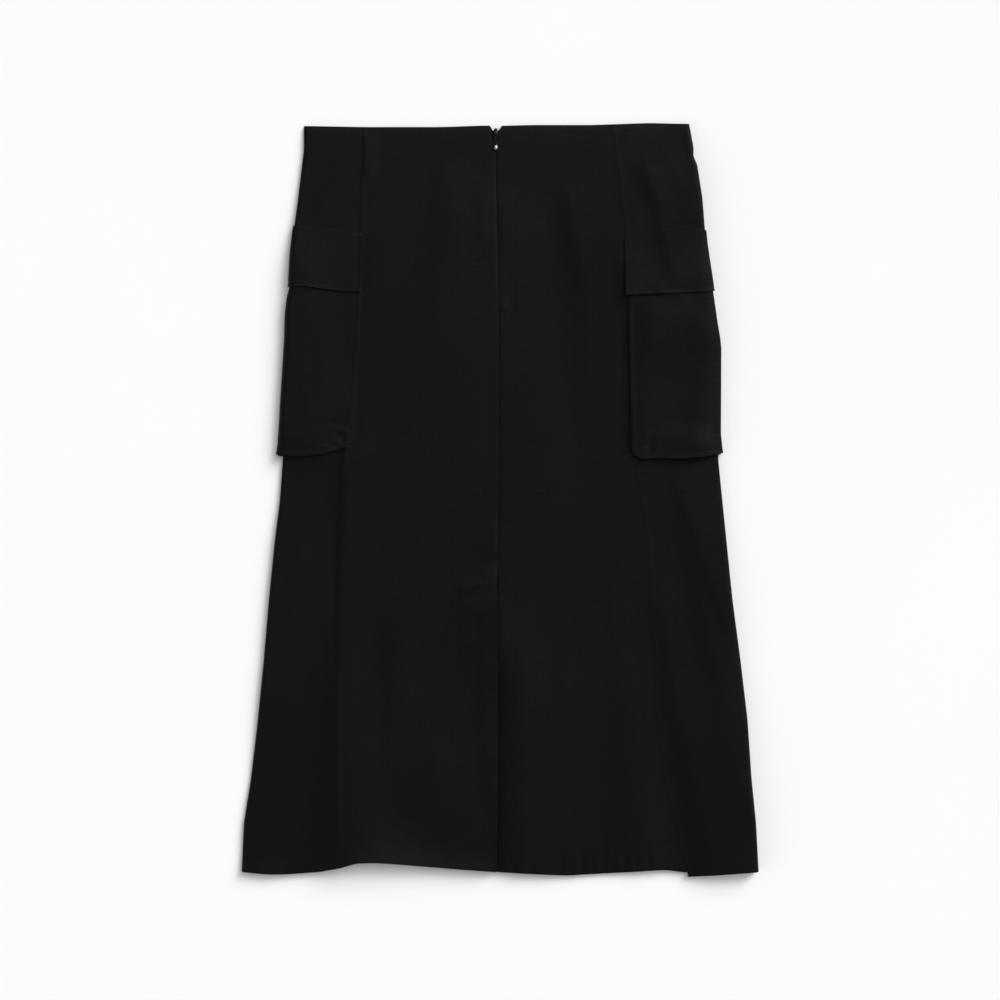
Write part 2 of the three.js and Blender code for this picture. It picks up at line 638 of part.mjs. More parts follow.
// The slider and pull are modelled about the pull's pivot.
const SLIDER = {
  half: 2.3, crown: 0.8, top: 5.4, shoulder: 3.4, bottom: -3.6, upper: -1, lower: -2.35,
  bridgeHalf: 0.6, bridgeOut: 2.3, bridgeIn: 1.5, bridgeUnder: 1, bridgeTop: 1.7,
};
function zipSlider() {
  const plate = new THREE.Shape();
  plate.moveTo(-SLIDER.crown, SLIDER.top);
  plate.lineTo(-SLIDER.half, SLIDER.shoulder);
  plate.lineTo(-SLIDER.half * 0.8, SLIDER.bottom);
  plate.lineTo(SLIDER.half * 0.8, SLIDER.bottom);
  plate.lineTo(SLIDER.half, SLIDER.shoulder);
  plate.lineTo(SLIDER.crown, SLIDER.top);
  const body = new THREE.ExtrudeGeometry(plate, {
    depth: SLIDER.upper - SLIDER.lower,
    bevelEnabled: false,
  });
  body.translate(0, 0, SLIDER.lower);
  const staple = new THREE.Shape();
  const [out, inside, under, over] = [
    SLIDER.bridgeOut, SLIDER.bridgeIn, SLIDER.bridgeUnder, SLIDER.bridgeTop,
  ];
  const foot = SLIDER.upper - 0.5;
  staple.moveTo(-out, foot);
  staple.lineTo(-out, over - 0.6);
  staple.lineTo(-inside, over);
  staple.lineTo(inside, over);
  staple.lineTo(out, over - 0.6);
  staple.lineTo(out, foot);
  staple.lineTo(inside, foot);
  staple.lineTo(inside, under);
  staple.lineTo(-inside, under);
  staple.lineTo(-inside, foot);
  const bridge = new THREE.ExtrudeGeometry(staple, {
    depth: SLIDER.bridgeHalf * 2,
    bevelEnabled: false,
  });
  // The staple is drawn across and up, then stood up along the zip.
  bridge.translate(0, 0, -SLIDER.bridgeHalf);
  bridge.rotateX(Math.PI / 2);
  bridge.rotateZ(Math.PI / 2);
  return toGeometry(toSolid(body).add(toSolid(bridge)));
}

const PULL = {
  wall: 0.9, barHalf: 0.45, armOut: 2, armIn: 1.1, windowEnd: -3.4,
  neck: 1.3, neckAt: -5.2, wide: 2.7, wideAt: -14.4, tip: -17.3,
  crownAt: -14.2, crownHalf: 1.9, crownLong: 2.7, crownRise: 0.8,
};
function zipPull() {
  const { wall, armOut, armIn, barHalf, windowEnd, neck, neckAt, wide, wideAt, tip } = PULL;
  const outline = new THREE.Shape();
  outline.moveTo(-armOut, barHalf);
  outline.lineTo(-armOut, windowEnd);
  outline.lineTo(-neck, neckAt);
  outline.bezierCurveTo(-neck, wideAt * 0.75, -wide, wideAt * 0.85, -wide, wideAt);
  outline.bezierCurveTo(-wide, tip * 0.97, -wide * 0.55, tip, 0, tip);
  outline.bezierCurveTo(wide * 0.55, tip, wide, tip * 0.97, wide, wideAt);
  outline.bezierCurveTo(wide, wideAt * 0.85, neck, wideAt * 0.75, neck, neckAt);
  outline.lineTo(armOut, windowEnd);
  outline.lineTo(armOut, barHalf);
  const plate = new THREE.ExtrudeGeometry(outline, {
    depth: wall,
    bevelEnabled: false,
    curveSegments: 5,
  });
  plate.translate(0, 0, -wall / 2);
  const eyeLength = -windowEnd - barHalf;
  const eye = new THREE.BoxGeometry(armIn * 2, eyeLength, wall * 2);
  eye.translate(0, -barHalf - eyeLength / 2, 0);
  // The drop-shaped end swells into a low crown on its upper face.
  const crown = new THREE.SphereGeometry(1, 16, 10);
  crown.scale(PULL.crownHalf, PULL.crownLong, PULL.crownRise);
  crown.translate(0, PULL.crownAt, wall / 2);
  return toGeometry(toSolid(plate).subtract(toSolid(eye)).add(toSolid(crown)));
}

const ripstop = () =>
  new THREE.MeshStandardMaterial({ color: 0x17171a, roughness: 0.85, metalness: 0 });
const tapeCloth = () =>
  new THREE.MeshStandardMaterial({ color: 0x121214, roughness: 0.9, metalness: 0 });
const blackMetal = () =>
  new THREE.MeshStandardMaterial({ color: 0x202124, roughness: 0.3, metalness: 0.9 });

const skirt = new THREE.Group();
skirt.name = "cargo_skirt";
const garment = new THREE.Group();
skirt.add(garment);
function addPiece(name, geometry, material) {
  const mesh = new THREE.Mesh(geometry, material);
  mesh.name = name;
  garment.add(mesh);
  return mesh;
}

addPiece("front_panel", frontPanel(), ripstop());
addPiece("back_panel_left", backPanel(-1), ripstop());
addPiece("back_panel_right", backPanel(1), ripstop());
addPiece("side_panel_left", sidePanel(-1), ripstop());
addPiece("side_panel_right", sidePanel(1), ripstop());
POCKETS.forEach((pocket) => {
  addPiece(`pocket_face_${pocket.name}`, pocketFace(pocket), ripstop());
  addPiece(`pocket_gusset_${pocket.name}`, pocketGusset(pocket), ripstop());
  addPiece(`pocket_flap_${pocket.name}`, pocketFlap(pocket), ripstop());
});
addPiece("zip_tape", zipTape(), tapeCloth());
const pivot = [ZIP_PIVOT_X, LENGTH / 2 - ZIP_PIVOT_DROP, ZIP_PIVOT_Z];
addPiece("zip_slider", zipSlider(), blackMetal()).position.set(...pivot);
addPiece("zip_pull", zipPull(), blackMetal()).position.set(...pivot);

// The origin is the middle of the floor under the skirt.
const bounds = new THREE.Box3().setFromObject(skirt, true);
const middle = bounds.getCenter(new THREE.Vector3());
garment.position.set(-middle.x, -middle.y, -bounds.min.z);

export default skirt;
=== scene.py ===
# %% [markdown]
# # A cargo utility skirt, laid flat with its back up
#
# The skirt is a near-black ripstop cotton tube that has been pressed flat. Its back lies on top, so
# the princess seams, the zip, the vent and half of each wrapped cargo pocket show. Every panel is
# built as a thin sheet of cloth that is laid on one shared "flattened tube", so neighbours always
# meet at their seams.

# %% Load the frame
import json
import math
from functools import partial

import bpy
import numpy as np
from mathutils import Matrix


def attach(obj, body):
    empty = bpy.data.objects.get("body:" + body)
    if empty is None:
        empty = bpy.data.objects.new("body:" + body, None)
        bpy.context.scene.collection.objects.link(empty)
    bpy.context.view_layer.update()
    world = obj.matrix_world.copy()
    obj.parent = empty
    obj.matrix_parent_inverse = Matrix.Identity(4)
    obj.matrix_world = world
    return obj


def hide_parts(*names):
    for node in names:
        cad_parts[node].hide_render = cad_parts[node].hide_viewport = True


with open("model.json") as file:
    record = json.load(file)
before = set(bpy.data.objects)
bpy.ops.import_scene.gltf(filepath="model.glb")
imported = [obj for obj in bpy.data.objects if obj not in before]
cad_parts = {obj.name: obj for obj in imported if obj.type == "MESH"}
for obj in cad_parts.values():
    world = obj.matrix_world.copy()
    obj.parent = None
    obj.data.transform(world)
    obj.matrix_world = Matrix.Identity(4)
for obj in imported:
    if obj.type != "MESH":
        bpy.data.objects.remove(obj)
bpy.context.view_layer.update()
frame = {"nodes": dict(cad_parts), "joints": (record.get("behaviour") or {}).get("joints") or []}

MM = 0.001

# %% [markdown]
# ## Where the sizes are measured from
#
# A pattern cutter works in millimetres from the waist edge, so this file does too: `drop` is the
# distance below the centre-back waist, and `x` runs across the skirt. The pull's hinge is known in
# both systems, so it tells how far the two origins are apart.

# %% The pull's hinge ties the two origins together
LENGTH = 748.0
PIVOT = np.array([-4.2, LENGTH / 2 - 9, 5.5])
hinge = next(j for j in frame["joints"] if j["name"] == "pull_swing")
SHIFT = np.array(hinge["pos_m"]) / MM - PIVOT
print("origin shift in mm:", SHIFT.round(3))

# %% [markdown]
# ## The camera
#
# The photograph was taken straight down. A long lens from more than two metres keeps the hem and
# the waist at one scale, one millimetre of cloth to a pixel.

# %% Camera straight above
LENS, SENSOR = 85, 36
SEEN = 0.9984
CLOTH_TOP = 0.005
view = bpy.data.cameras.new("straight_down")
view.lens = LENS
view.sensor_width = SENSOR
view.clip_end = 20
camera = bpy.data.objects.new("straight_down", view)
camera.location = (0, SHIFT[1] * MM - 0.001, SEEN * LENS / SENSOR + CLOTH_TOP)
bpy.context.scene.collection.objects.link(camera)
bpy.context.scene.camera = camera
print("camera height:", round(camera.location.z, 3))

# %% [markdown]
# ## The pattern's tables
#
# A tapered skirt is described by a few sections. Each row gives the left fold, the left back seam,
# the centre back, the right back seam and the right fold at one drop. The lines between rows are
# smoothed a little, as a curved ruler would.

# %% A table with named columns, how it is read, and two curves that are used everywhere
SECTION_SMOOTHING, EDGE_SMOOTHING = 9, 21


def table(columns, rows):
    return {name: np.array(values, float) for name, values in zip(columns.split(), zip(*rows))}


def read(rows, key, place, column):
    return np.interp(place, rows[key], rows[column])


def curve_through(rows, key, column, span):
    places = np.arange(rows[key][0] - 40, rows[key][-1] + 41)
    values = np.interp(places, rows[key], rows[column])
    window = np.hanning(span + 2)[1:-1]
    padded = np.pad(values, span // 2, mode="edge")
    return places, np.convolve(padded, window / window.sum(), mode="valid")


def ease(share):
    """Rises smoothly from 0 to 1."""
    share = np.clip(share, 0, 1)
    return share * share * (3 - 2 * share)


def bell(distance, width):
    """1 in the middle, fading to 0 on both sides."""
    return np.exp(-((distance / width) ** 2))


# %% Sections, waist edge and hem edge
SECTIONS = table("drop foldL seamL centre seamR foldR", [
    (0, -196, -136, -4.2, 113, 189),
    (25, -196, -136.4, -4.2, 116, 193.5),
    (33, -197, -136.7, -4.2, 117, 193),
    (41, -198, -137.5, -4.1, 118, 196.8),
    (75, -202, -137.8, -3.5, 122, 202),
    (105, -206, -138, -2.6, 125, 204.3),
    (165, -208, -140, -1.3, 128, 209.6),
    (215, -211, -143, -1, 129.5, 214),
    (275, -214, -148.5, -1, 131.5, 216),
    (335, -217, -155, -1.2, 135, 218),
    (375, -220, -160, -1.4, 142, 222),
    (415, -225, -161.5, -1.7, 148, 226),
    (475, -231, -162, -3.4, 151, 232),
    (535, -236, -162, -2.1, 155, 240),
    (595, -242, -162, -2, 157.5, 247),
    (655, -249, -161, -2.3, 164, 251),
    (700, -256, -160.5, -2.7, 177, 255.5),
    (748, -258, -159, -3.6, 187, 258),
    (760, -258.5, -158.6, -4, 189.5, 258.6),
])
WAIST = table("x drop", [
    (-196, 1), (-137, 2), (-59, 2), (-17, 0.5), (2, 0.8), (31, 0), (91, 0), (151, -2), (189, -1),
])
HEM = table("x drop", [
    (-258, 746), (-233, 748.5), (-209, 748.5), (-179, 746), (-158, 741), (-144, 736), (-125, 735.5),
    (-104, 737), (-80, 739.5), (-41, 743), (0, 746.5), (67, 750), (132, 746.4), (150, 745),
    (166, 744.4), (184, 747), (258, 745.5),
])
LINES = {
    column: curve_through(SECTIONS, "drop", column, SECTION_SMOOTHING)
    for column in ("foldL", "seamL", "centre", "seamR", "foldR")
}
WAIST_LINE = curve_through(WAIST, "x", "drop", EDGE_SMOOTHING)
HEM_LINE = curve_through(HEM, "x", "drop", EDGE_SMOOTHING)


def section(drop, column):
    return np.interp(drop, *LINES[column])


def fold_x(side, drop):
    return section(drop, "foldL" if side < 0 else "foldR")


def seam_x(side, drop):
    return section(drop, "seamL" if side < 0 else "seamR")


print("flat waist:", fold_x(1, 0) - fold_x(-1, 0), "mm")
print("flat hem:", fold_x(1, LENGTH) - fold_x(-1, LENGTH), "mm")

# %% [markdown]
# ## Folds and creases
#
# Cloth that lies flat is never level. The long soft folds below are the same ones that the frame's
# panels carry. The creases after them are the finer ones that only show in the light: troughs
# beside the zip, drag lines under the waist, ripples at the hem. Each is a line from one point to
# another, with its own slope on either side, that grows and dies away along its length.

# %% Long folds and fine creases
CREASE_COLUMNS = "x0 d0 x1 d1 left right height rise fall"
FOLDS = table(CREASE_COLUMNS, [
    (-165, 450, -157, 800, 19, 30, 4.6, 0.7, 0.05),
    (-118, 690, -116, 800, 34, 34, 3.6, 0.6, 0.05),
    (-234, 640, -242, 800, 15, 20, 1.6, 0.6, 0.05),
    (122, 520, 150, 800, 24, 22, 2.6, 0.7, 0.05),
    (172, 500, 222, 800, 19, 34, 4.4, 0.7, 0.05),
    (178, 350, 236, 640, 12, 24, 1.3, 0.3, 0.4),
    (128, 20, 188, 120, 11, 16, 1.1, 0.4, 0.4),
    (66, 30, 92, 330, 15, 24, 0.9, 0.3, 0.5),
    (-40, 30, -76, 330, 15, 28, 0.9, 0.3, 0.5),
    (-24, 440, -24, 800, 44, 44, 1.4, 0.1, 0.05),
])
CREASES = table(CREASE_COLUMNS, [
    (-140, 34, -190, 92, 9, 7, 0.6, 0.3, 0.3),
    (142, 20, 184, 176, 12, 50, 2.1, 0.25, 0.15),
    (204, -10, 208, 120, 22, 30, 3.4, 0.1, 0.4),
    (199, 16, 202, 50, 8, 10, 1.4, 0.4, 0.4),
    (158, 6, 210, 120, 18, 46, 2.3, 0.25, 0.3),
    (138, 24, 146, 130, 20, 60, 1.6, 0.3, 0.3),
    (196, 80, 206, 240, 56, 14, 2.5, 0.3, 0.3),
    (66, 40, 90, 176, 14, 56, 1.9, 0.4, 0.3),
    (88, 130, 94, 320, 15, 50, 1.1, 0.3, 0.5),
    (120, 30, 122, 110, 6, 14, 0.3, 0.3, 0.4),
    (-134.5, 4, -134.5, 64, 1.6, 10, 1.1, 0.2, 0.4),
    (-44, 30, -80, 320, 34, 60, 2.8, 0.3, 0.5),
    (-86, 250, -90, 330, 14, 26, 0.9, 0.4, 0.4),
    (-17, 50, -18, 140, 7, 20, 0.8, 0.4, 0.4),
    (4, 58, 4, 150, 4, 40, 0.6, 0.3, 0.5),
    (3, 190, 3, 430, 5, 30, 0.7, 0.3, 0.2),
    (-50, 26, -62, 110, 12, 30, 0.9, 0.3, 0.4),
    (14, 150, 10, 205, 6, 8, -0.35, 0.5, 0.4),
    (1, 168, 1, 190, 4, 6, 0.5, 0.5, 0.5),
    (-12, 176, 10, 178, 3, 3, -0.35, 0.5, 0.5),
    (34, 210, 44, 470, 17, 30, 0.6, 0.4, 0.5),
    (-30, 250, -24, 440, 14, 20, 0.5, 0.4, 0.4),
    (-72, 430, -58, 640, 15, 24, 0.6, 0.4, 0.4),
    (72, 470, 64, 660, 14, 26, 0.5, 0.4, 0.4),
    (112, 430, 122, 610, 10, 22, 0.7, 0.4, 0.4),
    (112, 36, 112, 150, 15, 70, 0.8, 0.3, 0.4),
    (123, 118, 123, 190, 7, 40, 1.0, 0.3, 0.3),
    (127.2, 180, 129, 334, 4, 6, 0.6, 0.2, 0.1),
    (201, 180, 205, 336, 14, 9, 1.2, 0.2, 0.1),
    (-110, 470, -98, 700, 12, 20, 0.6, 0.4, 0.3),
    (-68, 600, -50, 720, 14, 20, 0.9, 0.4, 0.3),
    (-153.5, 300, -160, 610, 4.5, 30, 1.8, 0.14, 0.3),
    (-166, 480, -166, 640, 6, 20, 0.8, 0.4, 0.3),
    (-100, 450, -94, 640, 28, 22, 1.3, 0.3, 0.4),
    (-76, 560, -70, 740, 24, 40, 1.2, 0.4, 0.3),
    (-160, 590, -157, 800, 70, 110, 2.6, 0.5, 0.05),
    (-238, 340, -262, 660, 30, 50, 3.9, 0.3, 0.3),
    (-207, 112, -216, 332, 10, 30, 2.5, 0.15, 0.1),
    (-172, 757, 12, 757, 10, 18, 3.2, 0.12, 0.3),
    (-166, 752, -126, 748, 8, 11, 0.9, 0.4, 0.4),
    (-266, 758, -206, 760, 10, 18, 2.8, 0.1, 0.4),
    (256, 640, 264, 730, 14, 30, 1.6, 0.4, 0.4),
    (-124, 520, -116, 800, 34, 90, 4.2, 0.5, 0.05),
    (-196, 380, -210, 560, 9, 16, 0.5, 0.3, 0.4),
    (-212, 640, -222, 800, 10, 14, 0.8, 0.4, 0.05),
    (172, 340, 238, 530, 8, 34, 1.1, 0.25, 0.3),
    (222, 330, 262, 800, 40, 30, 3.4, 0.3, 0.05),
    (160, 440, 186, 660, 14, 50, 2.0, 0.3, 0.4),
    (236, 380, 250, 520, 24, 40, 1.6, 0.3, 0.3),
    (230, 540, 264, 800, 36, 60, 4.2, 0.4, 0.05),
    (-168, 346, -180, 420, 8, 12, -0.5, 0.3, 0.5),
    (8, 458, 8, 800, 9, 44, 1.3, 0.2, 0.05),
    (27, 500, 29, 800, 26, 60, 2.4, 0.3, 0.05),
    (-5, 462, -6, 570, 20, 9, 1.2, 0.3, 0.3),
    (-4, 388, -4, 442, 16, 10, 0.8, 0.4, 0.4),
    (-10, 438, -10, 470, 10, 24, 0.6, 0.4, 0.4),
    (0, 462, -1, 545, 5, 8, 0.6, 0.3, 0.3),
    (-44, 470, -6, 457, 2.2, 5, 0.7, 0.2, 0.2),
    (-40, 480, -12, 468, 2.4, 2.4, -0.4, 0.4, 0.4),
    (-28, 448, -7, 463, 2.4, 2.4, -0.35, 0.4, 0.3),
    (-12, 500, -14, 640, 9, 12, 0.7, 0.3, 0.3),
    (-20, 486, -26, 524, 6, 9, -0.6, 0.5, 0.5),
    (-8, 606, -10, 690, 9, 8, 0.9, 0.4, 0.4),
    (61, 710, 60, 790, 3.2, 3.2, -0.95, 0.5, 0.05),
    (70, 718, 71, 790, 2.6, 2.6, -0.7, 0.5, 0.05),
    (81, 706, 84, 790, 3, 3, -1.0, 0.5, 0.05),
    (92, 718, 93, 790, 2.6, 2.6, -0.75, 0.5, 0.05),
    (103, 708, 104, 790, 3.2, 3.2, -1.0, 0.5, 0.05),
    (112, 720, 114, 790, 2.6, 2.6, -0.6, 0.5, 0.05),
    (124, 708, 126, 790, 3.2, 3.2, -1.0, 0.5, 0.05),
    (135, 718, 138, 790, 2.8, 2.8, -0.7, 0.5, 0.05),
    (147, 710, 150, 790, 3.4, 3.4, -0.9, 0.5, 0.05),
    (12, 716, 14, 790, 3.4, 3.4, -0.9, 0.5, 0.05),
    (30, 722, 31, 790, 4, 4, -0.6, 0.5, 0.05),
])


def crease_height(rows, x, drop):
    height = np.zeros(np.broadcast(x, drop).shape)
    for x0, d0, x1, d1, left, right, peak, rise, fall in zip(*rows.values()):
        run, sink = x1 - x0, d1 - d0
        long = math.hypot(run, sink)
        share = ((x - x0) * run + (drop - d0) * sink) / long**2
        aside = ((x - x0) * sink - (drop - d0) * run) / long
        strength = ease(share / rise) * ease((1 - share) / fall)
        height = height + peak * strength * bell(aside, np.where(aside > 0, right, left))
    return height


def handling(x, drop):
    """The faint unevenness that is left in pressed cotton, a few tenths of a millimetre."""
    return (
        0.16 * np.sin(x / 17 + 1.4 * np.sin(drop / 61))
        + 0.14 * np.sin(drop / 23 + 1.7 * np.sin(x / 47) + 0.6)
        + 0.07 * np.sin((x + drop) / 9.1 + 2.1 * np.sin(drop / 37))
    )


print(len(FOLDS["x0"]), "folds and", len(CREASES["x0"]), "creases")

# %% [markdown]
# ## The pockets' tables
#
# Each cargo pocket wraps the side fold, so part of it shows on the back and the rest lies
# underneath. Its table gives the inner edge, the flap's edges and how far the pocket bellies out
# past the fold.

# %% Pocket sizes
POCKET_CORNER = 14
POCKET_MOUTH = 128
FACE_UNDER = 1.8
FACE_LOFT = {
    -1: table("drop off", [(104, 1.4), (128, 1.5), (166, 2.1), (215, 2.6), (300, 2.8), (340, 3.5)]),
    1: table("drop off", [(104, 1.0), (128, 1.2), (166, 2.5), (215, 3.5), (340, 3.4)]),
}
EDGE_OFF = {-1: 1.9, 1: 3.0}
EDGE_REACH = {-1: 42.0, 1: 16.0}
POCKETS = {
    -1: dict(
        name="left",
        flap_inner=table("drop x", [(100, -137.8), (172, -138)]),
        face_inner=table("drop x", [
            (120, -139.6), (170, -140), (220, -142.2), (262, -144.4), (340, -146),
        ]),
        flap_top=table("reach drop", [(0, 100.6), (25, 102), (90, 110.6)]),
        flap_bottom=table("reach drop", [(0, 161.8), (12, 161), (50, 166.7), (90, 171)]),
        face_bottom=table("reach drop", [(0, 329), (26, 330.1), (46, 328), (90, 324.4)]),
        flare=table("drop out", [
            (120, 0), (162, 0.3), (172, 2.4), (188, 3.4),
            (215, 2.4), (275, 3.1), (318, 3.3), (332, 4.3),
        ]),
        gusset_spread=table("drop out", [(120, 0.5), (200, 1.5), (340, 6.5)]),
        gusset_fold=0.0,
    ),
    1: dict(
        name="right",
        flap_inner=table("drop x", [(110, 123.7), (172, 125.3)]),
        face_inner=table("drop x", [(120, 127.6), (205, 128.6), (262, 129.6), (340, 130.7)]),
        flap_top=table("reach drop", [(0, 107.5), (20, 103), (55, 108.3), (84, 116)]),
        flap_bottom=table("reach drop", [(0, 167.6), (30, 169.4), (60, 171.8), (90, 171.8)]),
        face_bottom=table("reach drop", [(0, 329.3), (20, 332.6), (42, 335.2), (90, 336.2)]),
        flare=table("drop out", [
            (120, 0), (168, 0.6), (200, 2.2), (225, 4.0), (275, 2.2), (310, 0.8), (332, 2.2),
        ]),
        gusset_spread=table("drop out", [(120, -1.6), (340, -1.6)]),
        gusset_fold=5.0,
    ),
}


def pocket_x(side, drop):
    return read(POCKETS[side]["face_inner"], "drop", drop, "x")


print("pocket mouths at a drop of", POCKET_MOUTH, "mm")

# %% [markdown]
# ## The flattened tube
#
# The underside rests on the floor, except where pocket layers lie beneath it and lift it. The back
# follows it a few millimetres higher. These functions give the height and place of any point on
# either face, and they match the frame's own panels.

# %% Heights of the underside and the back
LOFT = 4.6
LOWEST = 0.9
PUCKER_WIDTH = 4
UNDER_STACK = table("drop lift", [
    (0, 0), (80, 0), (104, 1.9), (126, 3.8), (172, 3.8),
    (188, 2.1), (336, 2.1), (360, 0), (LENGTH, 0),
])


def under_edge(side, drop):
    """Where a pocket ends underneath: as far from its fold as its twin reaches on the back."""
    return fold_x(side, drop) - side * np.abs(fold_x(-side, drop) - pocket_x(-side, drop))


def past_pocket(x, drop):
    """How far a point lies past the pocket layers underneath, towards the middle."""
    edge = np.where(x < 0, under_edge(-1, drop), under_edge(1, drop))
    return np.where(x < 0, -1, 1) * (edge - x)


def under_height(x, drop):
    share = np.clip((past_pocket(x, drop) - 2) / 26, 0, 1)
    return read(UNDER_STACK, "drop", drop, "lift") * (1 - share)


def back_lift(x, drop):
    """The back spans the pocket layers below it in one long swell, with none of their steps."""
    swell = 3.0 * ease((drop - 10) / 112) - 1.0 * ease((drop - 172) / 100)
    swell = swell - 2.0 * ease((drop - 290) / 150)
    return swell * (1 - ease(past_pocket(x, drop) / 75))


def seam_ridge(x, drop):
    """The pressed allowance lifts the cloth right beside a seam, and the seam puckers a little."""
    height = np.zeros(np.broadcast(x, drop).shape)
    for column, phase, peak in (("seamL", 0.0, 0.3), ("seamR", 2.0, 0.13)):
        off = x - section(drop, column)
        pucker = 0.06 * np.sin(drop / 3.9 + phase + 2 * np.sin(drop / 29)) * bell(off, PUCKER_WIDTH)
        height = height + peak * bell(off, np.where(off < 0, 0.9, 2.2)) - pucker
    return height


def centre_groove(x, drop):
    off = np.abs(x - section(drop, "centre"))
    closed = 1 - ease((drop - 440) / 40)
    pucker = 0.08 * np.sin(drop / 4.7 + 1.6 * np.sin(drop / 31)) * bell(off, PUCKER_WIDTH)
    return (0.4 * bell(off, 1.0) + pucker) * closed


def back_height(x, drop):
    roll = 2.3 * np.exp(-np.maximum(drop, 0) / 5)
    shape = crease_height(FOLDS, x, drop) + crease_height(CREASES, x, drop) + handling(x, drop)
    floor = np.maximum(LOFT + shape, LOFT - LOWEST)
    return back_lift(x, drop) + floor - roll + seam_ridge(x, drop) - centre_groove(x, drop)


def place_y(x, drop, waist_extra=0.0, hem_extra=0.0):
    top = np.interp(x, *WAIST_LINE) + waist_extra
    bottom = np.interp(x, *HEM_LINE) + hem_extra
    return LENGTH / 2 - (top + (bottom - top) * drop / LENGTH)


def front_y(x, drop):
    """The front's waist is cut 30 mm lower in the middle than the back's."""
    half = np.where(x < 0, fold_x(-1, drop), fold_x(1, drop))
    middle = (1 - np.minimum(1, (x / half) ** 2)) ** 2
    return place_y(x, drop, 30 * middle, -3 * middle)


# %% Left back, right back and underside surfaces
VENT_TOP = 464.0
VENT_WIDTH = 40.0


def points_at(x, y, z):
    return np.stack(np.broadcast_arrays(x, y, z), axis=-1)


def vent_share(drop, over=26):
    return ease((drop - 435) / over)


def left_back(x, drop):
    """Below the zip the left half climbs over the underlap."""
    inside = ease(1 - (section(drop, "centre") - x) / 60)
    return points_at(x, place_y(x, drop), back_height(x, drop) + 0.9 * vent_share(drop) * inside)


def right_back(x, drop):
    """The right half dips under the left one, in a step and then in a wider hollow."""
    past = np.maximum(0, x - section(drop, "centre"))
    dip = 1.5 * vent_share(drop, 36) * np.exp(-past / 8)
    dip = dip + 1.2 * ease((drop - 510) / 70) * ease(1 - past / 26)
    return points_at(x, place_y(x, drop), back_height(x, drop) - dip)


def underside(x, drop):
    return points_at(x, front_y(x, drop), under_height(x, drop))


# %% [markdown]
# ## Round the side fold
#
# A side panel, a pocket and a flap all pass round the fold. `reach` is the cloth's distance from
# the middle of the fold, above zero on the back and below zero underneath, so a sheet can be laid
# round it like a strip round a ruler's edge.

# %% The side of the tube, and a way to move a point off any surface
FOLD_REACH = 3.2
FOLD_GIRTH = 4.5
HEM_STEP = 4.5
PROBE = 0.4


def reach_of(side, x, drop):
    return side * (fold_x(side, drop) - x) - FOLD_REACH + FOLD_GIRTH


def hem_step(drop, across=1.0):
    """The right side panel hangs lower than the back beside it, by most at the seam's foot."""
    return HEM_STEP * across * ease((drop - 380) / (LENGTH - 380))


def around(side, reach, level):
    drop = level
    if side > 0:
        across = np.clip(reach / reach_of(1, seam_x(1, level), level), 0, 1)
        drop = level + hem_step(level, across)
    fold = fold_x(side, drop)
    flat = np.maximum(0, np.abs(reach) - FOLD_GIRTH)
    turn = np.clip(reach / FOLD_GIRTH, -1, 1) * math.pi / 2
    x = fold - side * (FOLD_REACH * (1 - np.cos(turn)) + flat)
    at = np.where(flat > 0, x, fold - side * FOLD_REACH)
    top, bottom = back_height(at, drop), under_height(at, drop)
    z = (top + bottom) / 2 + (top - bottom) / 2 * np.sin(turn)
    return points_at(x, np.where(reach < 0, front_y(x, drop), place_y(x, drop)), z)


def unit(vectors):
    return vectors / np.linalg.norm(vectors, axis=-1, keepdims=True)


def outward(surface, across, drop, facing):
    du = surface(across + PROBE, drop) - surface(across - PROBE, drop)
    dv = surface(across, drop + PROBE) - surface(across, drop - PROBE)
    return unit(facing * np.cross(du, dv))


def moved_out(surface, across, drop, facing, distance):
    distance = np.broadcast_to(distance, np.broadcast(across, drop).shape)[..., None]
    return surface(across, drop) + outward(surface, across, drop, facing) * distance


# %% [markdown]
# ## Laying a sheet of cloth
#
# Each piece starts as Blender's grid primitive, a flat square of cloth. Every vertex knows how far
# across and down the square it is, so it can be laid on the tube, and its measured place on the
# cloth, in metres, becomes its UV map. The weave then follows the cloth round every fold. Solidify
# gives the sheet its wall, growing inwards so that the outer face stays where the pattern puts it.

# %% Lay a grid, then thicken it
WALL = 0.95


def pick(piece, *others):
    """Selects these objects alone, with the first one active."""
    bpy.ops.object.select_all(action="DESELECT")
    for chosen in (piece, *others):
        chosen.select_set(True)
    bpy.context.view_layer.objects.active = piece


def apply_modifier(piece, kind, **settings):
    pick(piece)
    modifier = piece.modifiers.new(kind.lower(), kind)
    for setting, value in settings.items():
        setattr(modifier, setting, value)
    bpy.ops.object.modifier_apply(modifier=modifier.name)


def positions(piece):
    flat = np.empty(len(piece.data.vertices) * 3)
    piece.data.vertices.foreach_get("co", flat)
    return flat.reshape(-1, 3)


def put(piece, points):
    """Moves the vertices to points that are given in mm from the pattern's origin."""
    piece.data.vertices.foreach_set("co", ((points + SHIFT) * MM).ravel())
    piece.data.update()


def start_grid(name, across, down):
    bpy.ops.object.select_all(action="DESELECT")
    bpy.ops.mesh.primitive_grid_add(x_subdivisions=across, y_subdivisions=down, size=1)
    piece = bpy.context.object
    piece.name = piece.data.name = name
    flat = positions(piece)
    return piece, flat[:, 0] + 0.5, 0.5 - flat[:, 1]


def lay(piece, points, cloth_across, cloth_down):
    put(piece, points)
    mesh = piece.data
    corners = np.empty(len(mesh.loops), int)
    mesh.loops.foreach_get("vertex_index", corners)
    weave = mesh.uv_layers.active or mesh.uv_layers.new(name="weave")
    weave.name = "weave"
    cloth = np.stack([cloth_across, cloth_down], axis=-1)
    weave.data.foreach_set("uv", (cloth[corners] * MM).ravel())
    mesh.update()


